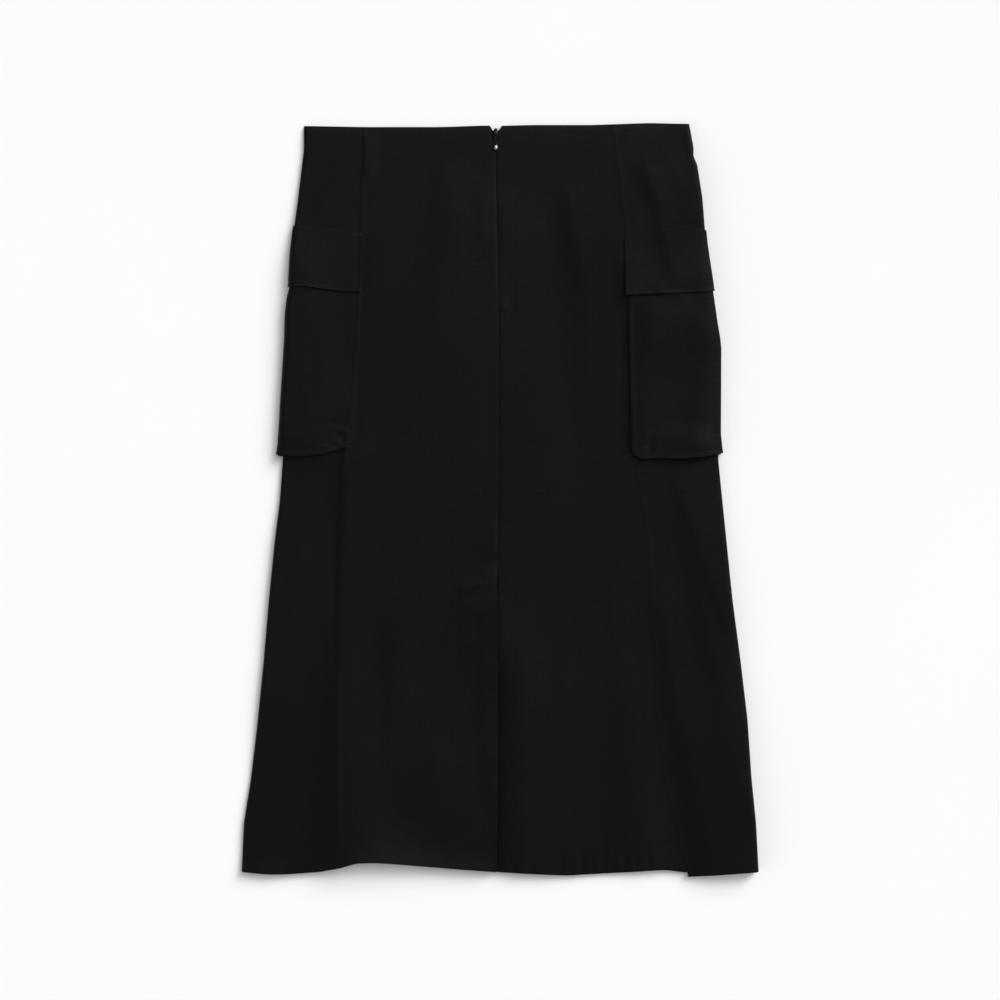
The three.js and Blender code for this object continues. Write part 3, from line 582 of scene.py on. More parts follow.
def thicken(piece, wall=WALL):
    apply_modifier(piece, "SOLIDIFY", thickness=wall * MM, offset=-1)
    bpy.ops.object.shade_smooth_by_angle(angle=math.radians(50))
    return piece


def cut_away(piece, unwanted):
    """Deletes the faces for which unwanted(face) is true."""
    pick(piece)
    bpy.ops.object.mode_set(mode="EDIT")
    bpy.ops.mesh.select_mode(type="FACE")
    bpy.ops.mesh.select_all(action="DESELECT")
    bpy.ops.object.mode_set(mode="OBJECT")
    for polygon in piece.data.polygons:
        polygon.select = bool(unwanted(polygon))
    bpy.ops.object.mode_set(mode="EDIT")
    bpy.ops.mesh.delete(type="FACE")
    bpy.ops.object.mode_set(mode="OBJECT")


# %% [markdown]
# ## Turned edges
#
# The waist and the hem are folded to the inside and stitched down. The grid simply carries on
# round the edge: its rows go over a half-round of about half a millimetre and come back inside,
# so both edges show a real folded thickness from the side.

# %% Rows that run from inside the waist to inside the hem
TURN_RADIUS = 0.65
WAIST_TURN = 9.0
HEM_TURN = 26.0
ARC = math.pi * TURN_RADIUS
ROW_SHARES = [0, 0.015, 0.03, 0.04, 0.93, 0.94, 0.955, 1]
ROW_PLACES = [
    -WAIST_TURN - ARC, -ARC, 0, 4, LENGTH - 4, LENGTH, LENGTH + ARC, LENGTH + HEM_TURN + ARC,
]


def turned(along):
    """along runs from the waist's inner edge to the hem's. Gives the drop and the depth inside."""
    top = np.clip(-along, 0, None)
    low = np.clip(along - LENGTH, 0, None)
    past = np.maximum(top, low)
    angle = np.clip(past / ARC, 0, 1) * math.pi
    in_from_edge = TURN_RADIUS * (1 - np.sin(angle)) + np.maximum(0, past - ARC)
    depth = TURN_RADIUS * (1 - np.cos(angle))
    main = TURN_RADIUS + (LENGTH - 2 * TURN_RADIUS) * np.clip(along / LENGTH, 0, 1)
    drop = np.where(top > 0, in_from_edge, np.where(low > 0, LENGTH - in_from_edge, main))
    return drop, depth


def panel_rows(v):
    """Where a panel's rows lie, close together round the two turned edges."""
    along = np.interp(v, ROW_SHARES, ROW_PLACES)
    return along, *turned(along)


# %% [markdown]
# ## The back panels
#
# The back is cut in two. Below the zip the halves are seamed, and below that the left half laps
# over an underlap that is cut in one with the right half. The right panel's grid therefore has
# extra columns past the centre, and the ones above the vent are deleted in edit mode.

# %% Back panels
PANEL_ROWS = 330
LEFT_COLUMNS, RIGHT_COLUMNS, UNDERLAP_COLUMNS = 66, 90, 20
BACK_SEAM_GAP, FRONT_SEAM_GAP = 0.03, 0.08
ZIP_GAP = table("drop half", [
    (0, 6), (2.5, 4.8), (5, 3), (8, 2.75), (15, 2.6), (22, 0.1), (LENGTH, 0.1),
])


def back_ends(side, drop):
    """x at a back panel's seam and at its centre edge."""
    middle = section(drop, "centre") + side * read(ZIP_GAP, "drop", drop, "half")
    return seam_x(side, drop) - side * BACK_SEAM_GAP, middle


def left_back_panel():
    piece, u, v = start_grid("back_left_cloth", LEFT_COLUMNS, PANEL_ROWS)
    along, drop, depth = panel_rows(v)
    seam, middle = back_ends(-1, drop)
    x = seam + (middle - seam) * u
    lay(piece, moved_out(left_back, x, drop, -1, -depth), x, -along)
    return thicken(piece)


def right_back_panel():
    piece, u, v = start_grid("back_right_cloth", RIGHT_COLUMNS, PANEL_ROWS)
    along, drop, depth = panel_rows(v)
    seam, middle = back_ends(1, drop)
    lapped = UNDERLAP_COLUMNS / RIGHT_COLUMNS
    underlap = section(drop, "centre") - VENT_WIDTH * (1 - u / lapped)
    x = np.where(u < lapped, underlap, middle + (seam - middle) * (u - lapped) / (1 - lapped))
    x = np.where(np.isclose(u, lapped), middle, x)
    lay(piece, moved_out(right_back, x, drop, -1, -depth), x, -along)
    spare = (u < lapped - 1e-6) & (along < VENT_TOP)
    cut_away(piece, lambda face: any(spare[i] for i in face.vertices))
    return thicken(piece)


back_left, back_right = left_back_panel(), right_back_panel()
print("back panels:", len(back_left.data.polygons), len(back_right.data.polygons), "faces")

# %% [markdown]
# ## The vent's facing
#
# The left half's vent edge is doubled by a facing, 40 mm wide, caught down by the stitching that
# shows as a faint vertical line. It is a strip laid just inside the panel.

# %% Vent facing
def vent_facing():
    piece, u, v = start_grid("vent_facing_cloth", 18, 118)
    drop = VENT_TOP + (LENGTH - 3 - VENT_TOP) * v
    edge = section(drop, "centre") - 0.5
    x = edge - (VENT_WIDTH - 1) * (1 - u)
    lay(piece, moved_out(left_back, x, drop, -1, -(WALL + 0.1)), x, -drop)
    return thicken(piece, 0.7)


facing = vent_facing()
print("vent facing:", VENT_WIDTH, "mm wide")

# %% [markdown]
# ## Side panels and the front
#
# Each side panel runs from the back princess seam, round the fold, to the front one. Columns are
# crowded into the half-round, so the fold stays round. The front panel is one sheet that rests on
# the floor. The front seams mirror the back's, because the garment's front and back match.

# %% Side panels and front panel
FOLD_SHARE = 0.12


def wrap_columns(u, side, back, front):
    """reach at each column: the fold's half-round takes a share of the columns."""
    if side < 0:
        u = 1 - u
    flat_back, flat_front = back - FOLD_GIRTH, front - FOLD_GIRTH
    split = flat_back / (flat_back + flat_front) * (1 - FOLD_SHARE)
    turned_in = split + FOLD_SHARE
    on_back = back - flat_back * u / split
    on_fold = FOLD_GIRTH - 2 * FOLD_GIRTH * (u - split) / FOLD_SHARE
    on_front = -FOLD_GIRTH - flat_front * (u - split - FOLD_SHARE) / (1 - split - FOLD_SHARE)
    return np.where(u < split, on_back, np.where(u < turned_in, on_fold, on_front))


def front_seam_x(side, drop):
    return fold_x(side, drop) - side * np.abs(fold_x(-side, drop) - seam_x(-side, drop))


def side_piece(side):
    piece, u, v = start_grid("side_left_cloth" if side < 0 else "side_right_cloth", 84, PANEL_ROWS)
    along, drop, depth = panel_rows(v)
    low = drop + hem_step(drop) if side > 0 else drop
    back = reach_of(side, seam_x(side, low), low) - BACK_SEAM_GAP
    front_end = reach_of(side, front_seam_x(side, drop), drop) - FRONT_SEAM_GAP
    reach = wrap_columns(u, side, back, front_end)
    lay(piece, moved_out(partial(around, side), reach, drop, side, -depth), reach, -along)
    return thicken(piece)


def front_piece():
    piece, u, v = start_grid("front_cloth", 74, 170)
    along, drop, depth = panel_rows(v)
    right = front_seam_x(1, drop) - FRONT_SEAM_GAP
    left = front_seam_x(-1, drop) + FRONT_SEAM_GAP
    x = right + (left - right) * u
    points = underside(x, drop)
    points[:, 2] += depth
    lay(piece, points, -x, -along)
    return thicken(piece)


side_left, side_right, front = side_piece(-1), side_piece(1), front_piece()
print("side panels:", len(side_left.data.polygons), "faces each")

# %% [markdown]
# ## Cargo pockets
#
# A bellows pocket stands off the skirt on a gusset. Its face is one sheet that follows the side
# panel's own points, moved out, with rounded lower corners. Near its edge the face rolls down
# towards the gusset, and the stitching pulls small puckers at the corners.

# %% The pocket face's surface
STITCH_IN = 4.5
UNDER_CORNER_REACH = 44.0
FLARE_HALF = 22


def towards_back(reach):
    return ease((reach + 6) / 12)


def pocket_edge(side, drop):
    """reach of the pocket's inner edge on the back."""
    return reach_of(side, pocket_x(side, drop), drop)


def face_off(side, reach, drop):
    """How far the pocket's face stands off the side panel."""
    loft = read(FACE_LOFT[side], "drop", drop, "off")
    edge = np.minimum(EDGE_OFF[side], loft)
    full = edge + (loft - edge) * ease((pocket_edge(side, drop) - reach) / EDGE_REACH[side])
    return FACE_UNDER + (full - FACE_UNDER) * towards_back(reach)


def face_outer(side, reach, drop, beyond=0.0):
    """A point on the pocket's outer face, beyond mm further out."""
    off = face_off(side, reach, drop) + beyond
    points = moved_out(partial(around, side), reach, drop, side, off)
    hump = np.maximum(0, 1 - (reach / FLARE_HALF) ** 2) ** 2
    points[..., 0] += side * read(POCKETS[side]["flare"], "drop", drop, "out") * hump
    return points


def pocket_bottom(side, reach):
    return read(POCKETS[side]["face_bottom"], "reach", np.abs(reach), "drop")


def pocket_reaches(side, drop, bottom):
    into = np.maximum(0, drop - (bottom - POCKET_CORNER))
    cut = POCKET_CORNER - np.sqrt(np.maximum(0, POCKET_CORNER**2 - into**2))
    under = reach_of(side, under_edge(side, drop), drop)
    return pocket_edge(side, drop) - cut, under - cut


POCKET_CREASES = {
    -1: table(CREASE_COLUMNS, [
        (-150, 322, -160, 311, 2.4, 2.4, -0.6, 0.3, 0.4),
        (-156, 326, -163, 316, 2, 2, 0.4, 0.3, 0.4),
        (-149, 312, -161, 305, 2.4, 2.4, 0.4, 0.3, 0.4),
        (-150, 302, -174, 299, 3, 3, -0.5, 0.2, 0.4),
        (-151, 306, -172, 305, 2.6, 2.6, 0.3, 0.2, 0.4),
        (-143, 276, -142, 330, 2.4, 2.4, -0.3, 0.4, 0.4),
        (-178, 190, -172, 300, 9, 18, 0.5, 0.4, 0.4),
        (-192, 220, -192, 320, 8, 20, 0.5, 0.4, 0.4),
        (-152, 324, -168, 306, 1.6, 1.6, -0.45, 0.2, 0.4),
        (-160, 326, -196, 318, 2.4, 2.4, 0.4, 0.3, 0.5),
    ]),
    1: table(CREASE_COLUMNS, [
        (146, 328, 156, 314, 2.4, 2.4, -0.6, 0.3, 0.4),
        (152, 330, 161, 318, 2, 2, 0.4, 0.3, 0.4),
        (142, 316, 156, 309, 2.4, 2.4, 0.4, 0.3, 0.4),
        (206, 300, 220, 298, 2.6, 2.6, -0.3, 0.3, 0.3),
        (204, 306, 219, 305, 2.4, 2.4, 0.2, 0.3, 0.3),
        (154, 168, 148, 260, 13, 30, 1.8, 0.25, 0.5),
        (156, 167, 190, 177, 8, 12, 0.9, 0.3, 0.3),
        (186, 260, 196, 330, 8, 20, 0.4, 0.4, 0.4),
        (195, 298, 196, 352, 30, 14, 3.2, 0.4, 0.05),
        (139, 322, 153, 312, 1.8, 1.8, 0.45, 0.3, 0.4),
        (146, 334, 150, 308, 1.8, 1.8, -0.4, 0.3, 0.4),
    ]),
}


def pocket_form(side, reach, drop, inside):
    """Height that creases and the rolled edge add to the face. inside is mm in from the edge."""
    x = fold_x(side, drop) - side * (reach - FOLD_GIRTH + FOLD_REACH)
    top = towards_back(reach)
    above_bottom = pocket_bottom(side, reach) - drop
    rolled = 0.3
    if side > 0:
        rolled = (0.3 + 0.4 * ease((above_bottom - 6) / 10)) * (1 - 0.8 * bell(reach, 14))
    edge = -0.6 * rolled * bell(inside, 0.9) - 0.2 * bell(inside - STITCH_IN, 1.1)
    crease = crease_height(POCKET_CREASES[side], x, drop) * ease((reach - 4) / 8)
    curl = 1.1 * np.exp(-np.maximum(above_bottom, 0) / 6.5) * top
    return edge * (0.35 + 0.65 * top) + curl + crease


# %% Pocket faces
STRAIGHT_ROWS = 0.86


def pocket_place(side, u, v):
    """reach, drop and distance in from the sewn edge at each vertex of a pocket's grid."""
    far_bottom = pocket_bottom(side, UNDER_CORNER_REACH)
    bend = np.sin(np.clip((v - STRAIGHT_ROWS) / (1 - STRAIGHT_ROWS), 0, 1) * math.pi / 2)
    straight = far_bottom - POCKET_CORNER - POCKET_MOUTH
    guess = np.where(
        v < STRAIGHT_ROWS,
        POCKET_MOUTH + straight * v / STRAIGHT_ROWS,
        far_bottom - POCKET_CORNER * (1 - bend),
    )
    back, under = pocket_reaches(side, guess, far_bottom)
    reach = wrap_columns(u, side, back, under)
    bottom = pocket_bottom(side, reach)
    blend = np.clip((guess - POCKET_MOUTH) / (far_bottom - POCKET_MOUTH), 0, 1)
    drop = guess + (bottom - far_bottom) * blend**3
    inside = np.minimum(np.minimum(back - reach, reach + under), bottom - drop)
    return reach, drop, np.maximum(inside, 0)


def pocket_face(side):
    piece, u, v = start_grid(f"pocket_{POCKETS[side]['name']}_cloth", 92, 100)
    reach, drop, inside = pocket_place(side, u, v)
    points = face_outer(side, reach, drop, pocket_form(side, reach, drop, inside))
    lay(piece, points, reach, -drop)
    return thicken(piece, 0.9)


pockets = {side: pocket_face(side) for side in (-1, 1)}
print("pocket faces:", [p.name for p in pockets.values()])

# %% [markdown]
# ## Gussets
#
# The gusset is a ribbon that stands between the side panel and the pocket's edge. Only its rim
# shows, as the dark line round the pocket. It is laid as a narrow grid whose rows run down the
# pocket's back edge, round the corner and along the bottom.

# %% Gussets
GUSSET_ROWS = 120
DOWN_SHARE, BEND_SHARE = 0.62, 0.1
GUSSET_WIDTH, GUSSET_ROW = 12, 2.2
GUSSET_CORNER_REACH = 70.0


def gusset_path(side):
    """reach and drop along the gusset, and how far it faces sideways and down there."""
    straight_end = pocket_bottom(side, GUSSET_CORNER_REACH) - POCKET_CORNER
    path = np.linspace(0, 1, GUSSET_ROWS + 1)
    down = np.clip(path / DOWN_SHARE, 0, 1)
    bend = np.clip((path - DOWN_SHARE) / BEND_SHARE, 0, 1) * math.pi / 2
    along = np.clip((path - DOWN_SHARE - BEND_SHARE) / (1 - DOWN_SHARE - BEND_SHARE), 0, 1)
    drop = (POCKET_MOUTH + 2) + (straight_end - POCKET_MOUTH - 2) * down
    reach = pocket_edge(side, drop) - POCKET_CORNER * (1 - np.cos(bend)) * (bend > 0)
    reach = reach + (1.0 - (pocket_edge(side, straight_end) - POCKET_CORNER)) * along
    round_corner = pocket_bottom(side, reach) - POCKET_CORNER * (1 - np.sin(bend))
    return reach, np.where(bend > 0, round_corner, drop), np.cos(bend), np.sin(bend)


def gusset(side):
    rows = POCKETS[side]
    piece, u, v = start_grid(f"gusset_{rows['name']}_cloth", 10, GUSSET_ROWS)
    reach, drop, aside, low = gusset_path(side)
    foot = read(rows["gusset_spread"], "drop", drop, "out") * aside + np.minimum(1.2, 1.2 * low)
    row = np.clip(np.rint(v * GUSSET_ROWS).astype(int), 0, GUSSET_ROWS)
    height = u if side > 0 else 1 - u
    shift = -0.8 + (foot[row] + 0.8) * height - rows["gusset_fold"] * np.sin(math.pi * height)
    place_reach, place_drop = reach[row] + aside[row] * shift, drop[row] + low[row] * shift
    stand = face_off(side, place_reach, place_drop)
    off = (stand - 1.1) * (1 - height) + 0.5 * height
    points = face_outer(side, place_reach, place_drop, off - stand)
    lay(piece, points, height * GUSSET_WIDTH, -row * GUSSET_ROW)
    return thicken(piece, 0.35)


gussets = {side: gusset(side) for side in (-1, 1)}
print("gussets:", [p.name for p in gussets.values()])

# %% [markdown]
# ## Flaps
#
# Each flap is sewn on above the pocket's mouth and hangs down over it. It starts near the side
# panel, climbs over the mouth, and its free edge stands a little proud, which throws the soft
# line of shadow under it. The right one also bows up in two places along that edge.

# %% Flaps
CLIMB = {-1: 30, 1: 62}
FLAP_WALL = 1.05
USUAL_TOP, USUAL_LENGTH = 108, 60


def flap_points(side, u, v):
    """reach, drop and place of a flap's outer face, u across it and v down it."""
    rows = POCKETS[side]
    guess = USUAL_TOP + USUAL_LENGTH * v
    back = reach_of(side, read(rows["flap_inner"], "drop", guess, "x"), guess)
    under = reach_of(side, under_edge(side, guess), guess) + 2
    reach = wrap_columns(u, side, back, under)
    top = read(rows["flap_top"], "reach", np.abs(reach), "drop")
    bottom = read(rows["flap_bottom"], "reach", np.abs(reach), "drop")
    drop = top + (bottom - top) * v
    sewn, free = drop - top, bottom - drop
    inside = np.minimum(np.minimum(back - reach, reach + under), np.minimum(free, sewn))
    off = face_off(side, reach, drop)
    low = -off + 0.3 + (off + 0.15) * ease(sewn / CLIMB[side])
    lift = 0.7 * np.clip((v - 0.3) / 0.7, 0, 1) ** 2 * towards_back(reach - 14)
    if side > 0:
        bow = 1.3 * bell(reach - 49, 12) + 0.8 * bell(reach - 96, 24)
        lift = lift * ease((reach - 22) / 22) + v**3 * bow
    edge = 0.4 * np.exp(-np.maximum(free, 0) / 1.8) - 0.4 * bell(sewn, 1.6)
    edge = edge * towards_back(reach) - 0.18 * bell(np.maximum(inside, 0) - 4, 1.1)
    wave = 0.22 * np.sin(reach / 11 + 0.9) * v * towards_back(reach - 8)
    return reach, drop, face_outer(side, reach, drop, low + lift + edge + wave + 1.15)


def flap(side):
    piece, u, v = start_grid(f"flap_{POCKETS[side]['name']}_cloth", 92, 34)
    reach, drop, points = flap_points(side, u, v)
    lay(piece, points, reach, -drop)
    return thicken(piece, FLAP_WALL)


flaps = {side: flap(side) for side in (-1, 1)}
print("flaps:", [p.name for p in flaps.values()])

# %% [markdown]
# ## Stitches
#
# A lockstitch shows as a row of short dashes of thread, each sunk a little at its ends. One stitch
# is modelled from a small sphere, and its mesh is repeated along the sewing lines as one joined
# piece for each line. The lines are given in the pattern's own terms, so they ride on the cloth.

# %% One stitch, and a way to sew a line of them
bpy.ops.object.select_all(action="DESELECT")
bpy.ops.mesh.primitive_uv_sphere_add(segments=6, ring_count=4, radius=0.5)
stitch_seed = bpy.context.object
STITCH_POINTS = positions(stitch_seed)[:, [1, 2, 0]]
STITCH_FACES = [tuple(p.vertices) for p in stitch_seed.data.polygons]
STITCH_HIGH = 0.34
THREAD_PROUD = 0.1
CLEAR_OF_FLOOR = 0.2
bpy.data.objects.remove(stitch_seed)


def along_line(stations, travelled, values):
    return np.stack([np.interp(stations, travelled, values[:, k]) for k in range(3)], axis=-1)


def sew(name, lines, pitch=2.9, long=2.3, wide=0.42):
    """lines holds pairs: points along a line in mm, and the cloth's outward direction at each."""
    shape = STITCH_POINTS * [long, wide, STITCH_HIGH]
    points, faces = [], []
    for spots, normals in lines:
        gaps = np.linalg.norm(np.diff(spots, axis=0), axis=1)
        travelled = np.concatenate([[0], np.cumsum(gaps)])
        count = max(2, int(travelled[-1] / pitch))
        stations = (np.arange(count) + 0.5) * travelled[-1] / count
        where = along_line(stations, travelled, spots)
        ahead = along_line(stations + 0.5, travelled, spots)
        along = unit(ahead - along_line(stations - 0.5, travelled, spots))
        aside = unit(np.cross(along, along_line(stations, travelled, normals)))
        for place, a, s, n in zip(where, along, aside, np.cross(aside, along)):
            first = len(points)
            points.extend(place + shape[:, :1] * a + shape[:, 1:2] * s + shape[:, 2:] * n)
            faces.extend(tuple(first + i for i in face) for face in STITCH_FACES)
    mesh = bpy.data.meshes.new(name)
    mesh.from_pydata(((np.array(points) + SHIFT) * MM).tolist(), [], faces)
    piece = bpy.data.objects.new(name, mesh)
    bpy.context.scene.collection.objects.link(piece)
    pick(piece)
    bpy.ops.object.mode_set(mode="EDIT")
    bpy.ops.mesh.select_all(action="SELECT")
    bpy.ops.mesh.normals_make_consistent(inside=False)
    bpy.ops.object.mode_set(mode="OBJECT")
    bpy.ops.object.shade_smooth()
    return piece


def line_on(surface, facing, across, drop):
    """A sewing line on a surface, lying on its outer face."""
    normals = outward(surface, across, drop, facing)
    return surface(across, drop) + normals * THREAD_PROUD, normals


def off_floor(spots, least):
    spots[:, 2] = np.maximum(spots[:, 2], least)
    return spots


# %% [markdown]
# ### Hem, waist and vent stitching
#
# The hem is caught by two rows, the waist's turning by one, and the vent's facing by a vertical row
# that ends in a short slanted row towards the top of the vent.

# %% Sew the body
HEM_ROWS, WAIST_ROW = (720.0, 726.0), 6.5
VENT_STITCH_IN = 37.5
VENT_ROW_TOP, VENT_ROW_END = 472, 712
SLANT_ACROSS, SLANT_RISE = 37, 13


def across_lines(drop):
    """One sewing line at a drop, over both back panels, both side panels and the front."""
    lines = []
    for surface, start, end in ((left_back, "seamL", "centre"), (right_back, "centre", "seamR")):
        x = np.linspace(section(drop, start) + 1, section(drop, end) - 1, 120)
        lines.append(line_on(surface, -1, x, np.full(120, drop)))
    for side in (-1, 1):
        back = reach_of(side, seam_x(side, drop), drop) - 1
        reach = np.linspace(back, -reach_of(side, front_seam_x(side, drop), drop) + 1, 160)
        spots, normals = line_on(partial(around, side), side, reach, np.full(160, drop))
        lines.append((off_floor(spots, STITCH_HIGH / 2), normals))
    return lines


hem_stitches = sew("hem_stitches", across_lines(HEM_ROWS[0]) + across_lines(HEM_ROWS[1]))
waist_stitches = sew("waist_stitches", across_lines(WAIST_ROW))
vent_rows = np.linspace(VENT_ROW_TOP, VENT_ROW_END, 90)
slant = np.linspace(0, 1, 30)
slant_x = section(VENT_ROW_TOP, "centre") - VENT_STITCH_IN + SLANT_ACROSS * slant
vent_stitches = sew("vent_stitches", [
    line_on(left_back, -1, section(vent_rows, "centre") - VENT_STITCH_IN, vent_rows),
    line_on(left_back, -1, slant_x, VENT_ROW_TOP - SLANT_RISE * slant),
])
print("stitches:", len(hem_stitches.data.polygons) // len(STITCH_FACES), "in the hem")

# %% [markdown]
# ### Pocket and flap stitching
#
# The pocket face is stitched 4.5 mm in from its edge. The flap is stitched down its back edge,
# along its free edge and along its sewn top. Bartacks, short blocks of close stitches, hold its
# corners.

# %% Sew the pockets and flaps
def pocket_lines(side):
    far_bottom = pocket_bottom(side, UNDER_CORNER_REACH)
    straight_end = far_bottom - POCKET_CORNER
    drop = np.linspace(POCKET_MOUTH + 44, straight_end, 80)
    back, _ = pocket_reaches(side, drop, far_bottom)
    bend = np.linspace(0, math.pi / 2, 14)
    radius = POCKET_CORNER - STITCH_IN
    corner = back[-1] - POCKET_CORNER
    along = np.linspace(corner, -30, 60)
    reach = np.concatenate([back - STITCH_IN, corner + radius * np.cos(bend), along])
    level = np.concatenate([
        drop, straight_end + radius * np.sin(bend), pocket_bottom(side, along) - STITCH_IN,
    ])
    form = pocket_form(side, reach, level, np.full(reach.shape, STITCH_IN))
    spots = face_outer(side, reach, level, form + THREAD_PROUD)
    normals = outward(partial(face_outer, side), reach, level, side)
    return [(off_floor(spots, CLEAR_OF_FLOOR), normals)]


def flap_lines(side):
    """Down the flap's back edge, along its free edge, and along its sewn top."""
    lines = []
    inner_u = 0.035 if side > 0 else 1 - 0.035
    for u, v, count in (
        ((inner_u, inner_u), (0.04, 0.93), 60),
        ((inner_u, 1 - inner_u), (0.93, 0.93), 140),
        ((inner_u, 1 - inner_u), (0.05, 0.05), 140),
    ):
        reach, drop, spots = flap_points(side, np.linspace(*u, count), np.linspace(*v, count))
        normals = outward(partial(around, side), reach, drop, side)
        lines.append((off_floor(spots + normals * THREAD_PROUD, CLEAR_OF_FLOOR), normals))
    return lines


def bartack(side, x0, x1, drop0, drop1, rows):
    """Rows of close stitches over the flap's corner, which also catch the panel beside it."""
    flap_edge = read(POCKETS[side]["flap_inner"], "drop", drop0, "x")
    x = np.linspace(x0, x1, 20)
    over_flap = ease((side * (x - flap_edge) + 1) / 2)
    lines = []
    for drop in np.linspace(drop0, drop1, rows):
        level = np.full(20, drop)
        spots, normals = line_on(partial(around, side), side, reach_of(side, x, level), level)
        lines.append((spots + normals * (0.2 + 1.45 * over_flap)[:, None], normals))
    return lines


pocket_stitches, flap_stitches = [
    {side: sew(f"{part}_{POCKETS[side]['name']}_stitches", run(side)) for side in (-1, 1)}
    for part, run in (("pocket", pocket_lines), ("flap", flap_lines))
]
tacks = {
    -1: sew("bartacks_left", bartack(-1, -149, -137.5, 109.5, 111.5, 3), 0.8, 1.1, 0.9),
    1: sew("bartacks_right", bartack(1, 126.5, 132.5, 114, 120, 4), 0.8, 1.0, 0.8),
}
print("flap stitches:", [len(p.data.polygons) // len(STITCH_FACES) for p in flap_stitches.values()])

# %% [markdown]
# ## The zip
#
# An invisible zip hides its coil behind the closed seam, so only the slider's nose, its bridge and
# the long drop-shaped pull show at the waist. The tape stays as the frame holds it. The coil is one
# small ring, repeated down the tape by an array.

# %% Zip coil
COIL_TURNS, COIL_PITCH, COIL_START = 150, 1.08, 14


def zip_coil():
    bpy.ops.object.select_all(action="DESELECT")
    bpy.ops.mesh.primitive_torus_add(
        major_segments=10, minor_segments=5, major_radius=1.1 * MM, minor_radius=0.26 * MM,
        rotation=(math.pi / 2, 0, 0),
    )
    ring = bpy.context.object
    ring.name = ring.data.name = "zip_coil"
    bpy.ops.object.transform_apply(location=False, rotation=True, scale=True)
    apply_modifier(
        ring, "ARRAY", count=COIL_TURNS, use_relative_offset=False, use_constant_offset=True,
        constant_offset_displace=(0, -COIL_PITCH * MM, 0),
    )
    across, along, up = (positions(ring) / MM).T
    drop = COIL_START - along
    centre = section(drop, "centre")
    z = up * 0.38 + left_back(centre - 3, drop)[:, 2] - 1.25
    put(ring, points_at(across * 0.9 + centre, LENGTH / 2 - drop, z))
    bpy.ops.object.shade_smooth()
    return ring


coil = zip_coil()
print("coil faces:", len(coil.data.polygons))

# %% [markdown]
# ### Slider and pull
#
# The slider is a flat wedge with a staple-shaped bridge. It starts as a cube that is subdivided
# and drawn in at its ends. The pull is a drop-shaped plate with a window that rides on the bridge,
# and a low crown near its tip. Both get a small bevel, since cast metal has no sharp edge and the
# bevel takes the light.

# %% Slider
def bevelled(piece, width):
    apply_modifier(piece, "BEVEL", width=width * MM, segments=2, limit_method="ANGLE")
    bpy.ops.object.shade_smooth_by_angle(angle=math.radians(40))
    return piece


def settle(piece):
    """Moves a finished piece to the pivot, with its place in its mesh."""
    pick(piece)
    piece.location = tuple((PIVOT + SHIFT) * MM)
    bpy.ops.object.transform_apply(location=True, rotation=True, scale=True)
    return piece


def slider_body():
    bpy.ops.object.select_all(action="DESELECT")
    bpy.ops.mesh.primitive_cube_add(size=1, location=(0, 0.9 * MM, -1.67 * MM))
    body = bpy.context.object
    body.name = body.data.name = "slider_body"
    body.scale = (4.6 * MM, 9 * MM, 1.35 * MM)
    bpy.ops.object.transform_apply(location=True, rotation=True, scale=True)
    bpy.ops.object.mode_set(mode="EDIT")
    bpy.ops.mesh.select_all(action="SELECT")
    bpy.ops.mesh.subdivide(number_cuts=3)
    bpy.ops.object.mode_set(mode="OBJECT")
    for vertex in body.data.vertices:
        vertex.co.x *= np.interp(vertex.co.y / MM, [-3.6, 1, 3.4, 5.4], [0.8, 0.86, 1, 0.42])
        if vertex.co.z > -1.6 * MM:
            vertex.co.z -= 0.22 * MM * (abs(vertex.co.x) / (2.3 * MM)) ** 2
    return bevelled(body, 0.18)


def slider_bridge():
    """A strip bent into a staple along the zip: a narrow grid whose rows go up, along and down."""
    bends = [
        (-2.25, -1.2), (-2.3, 0.6), (-1.9, 1.5), (-1.0, 1.75),
        (1.0, 1.75), (1.9, 1.5), (2.3, 0.6), (2.25, -1.2),
    ]
    bridge, _, _ = start_grid("slider_bridge", 1, len(bends) - 1)
    for vertex in bridge.data.vertices:
        y, z = bends[round((vertex.co.y + 0.5) * (len(bends) - 1))]
        vertex.co = (vertex.co.x * 1.2 * MM, y * MM, z * MM)
    apply_modifier(bridge, "SOLIDIFY", thickness=0.6 * MM, offset=-1)
    return bevelled(bridge, 0.15)


def slider():
    body, bridge = slider_body(), slider_bridge()
    pick(body, bridge)
    bpy.ops.object.join()
    body.name = body.data.name = "slider_metal"
    return settle(body)


slider_metal = slider()
print("slider:", [round(v / MM, 1) for v in slider_metal.dimensions], "mm")

# %% Pull
CROWN_AT, CROWN_HALF, CROWN_LONG, CROWN_RISE = -14.2, 1.9, 2.7, 0.8
PULL_WALL = 0.9


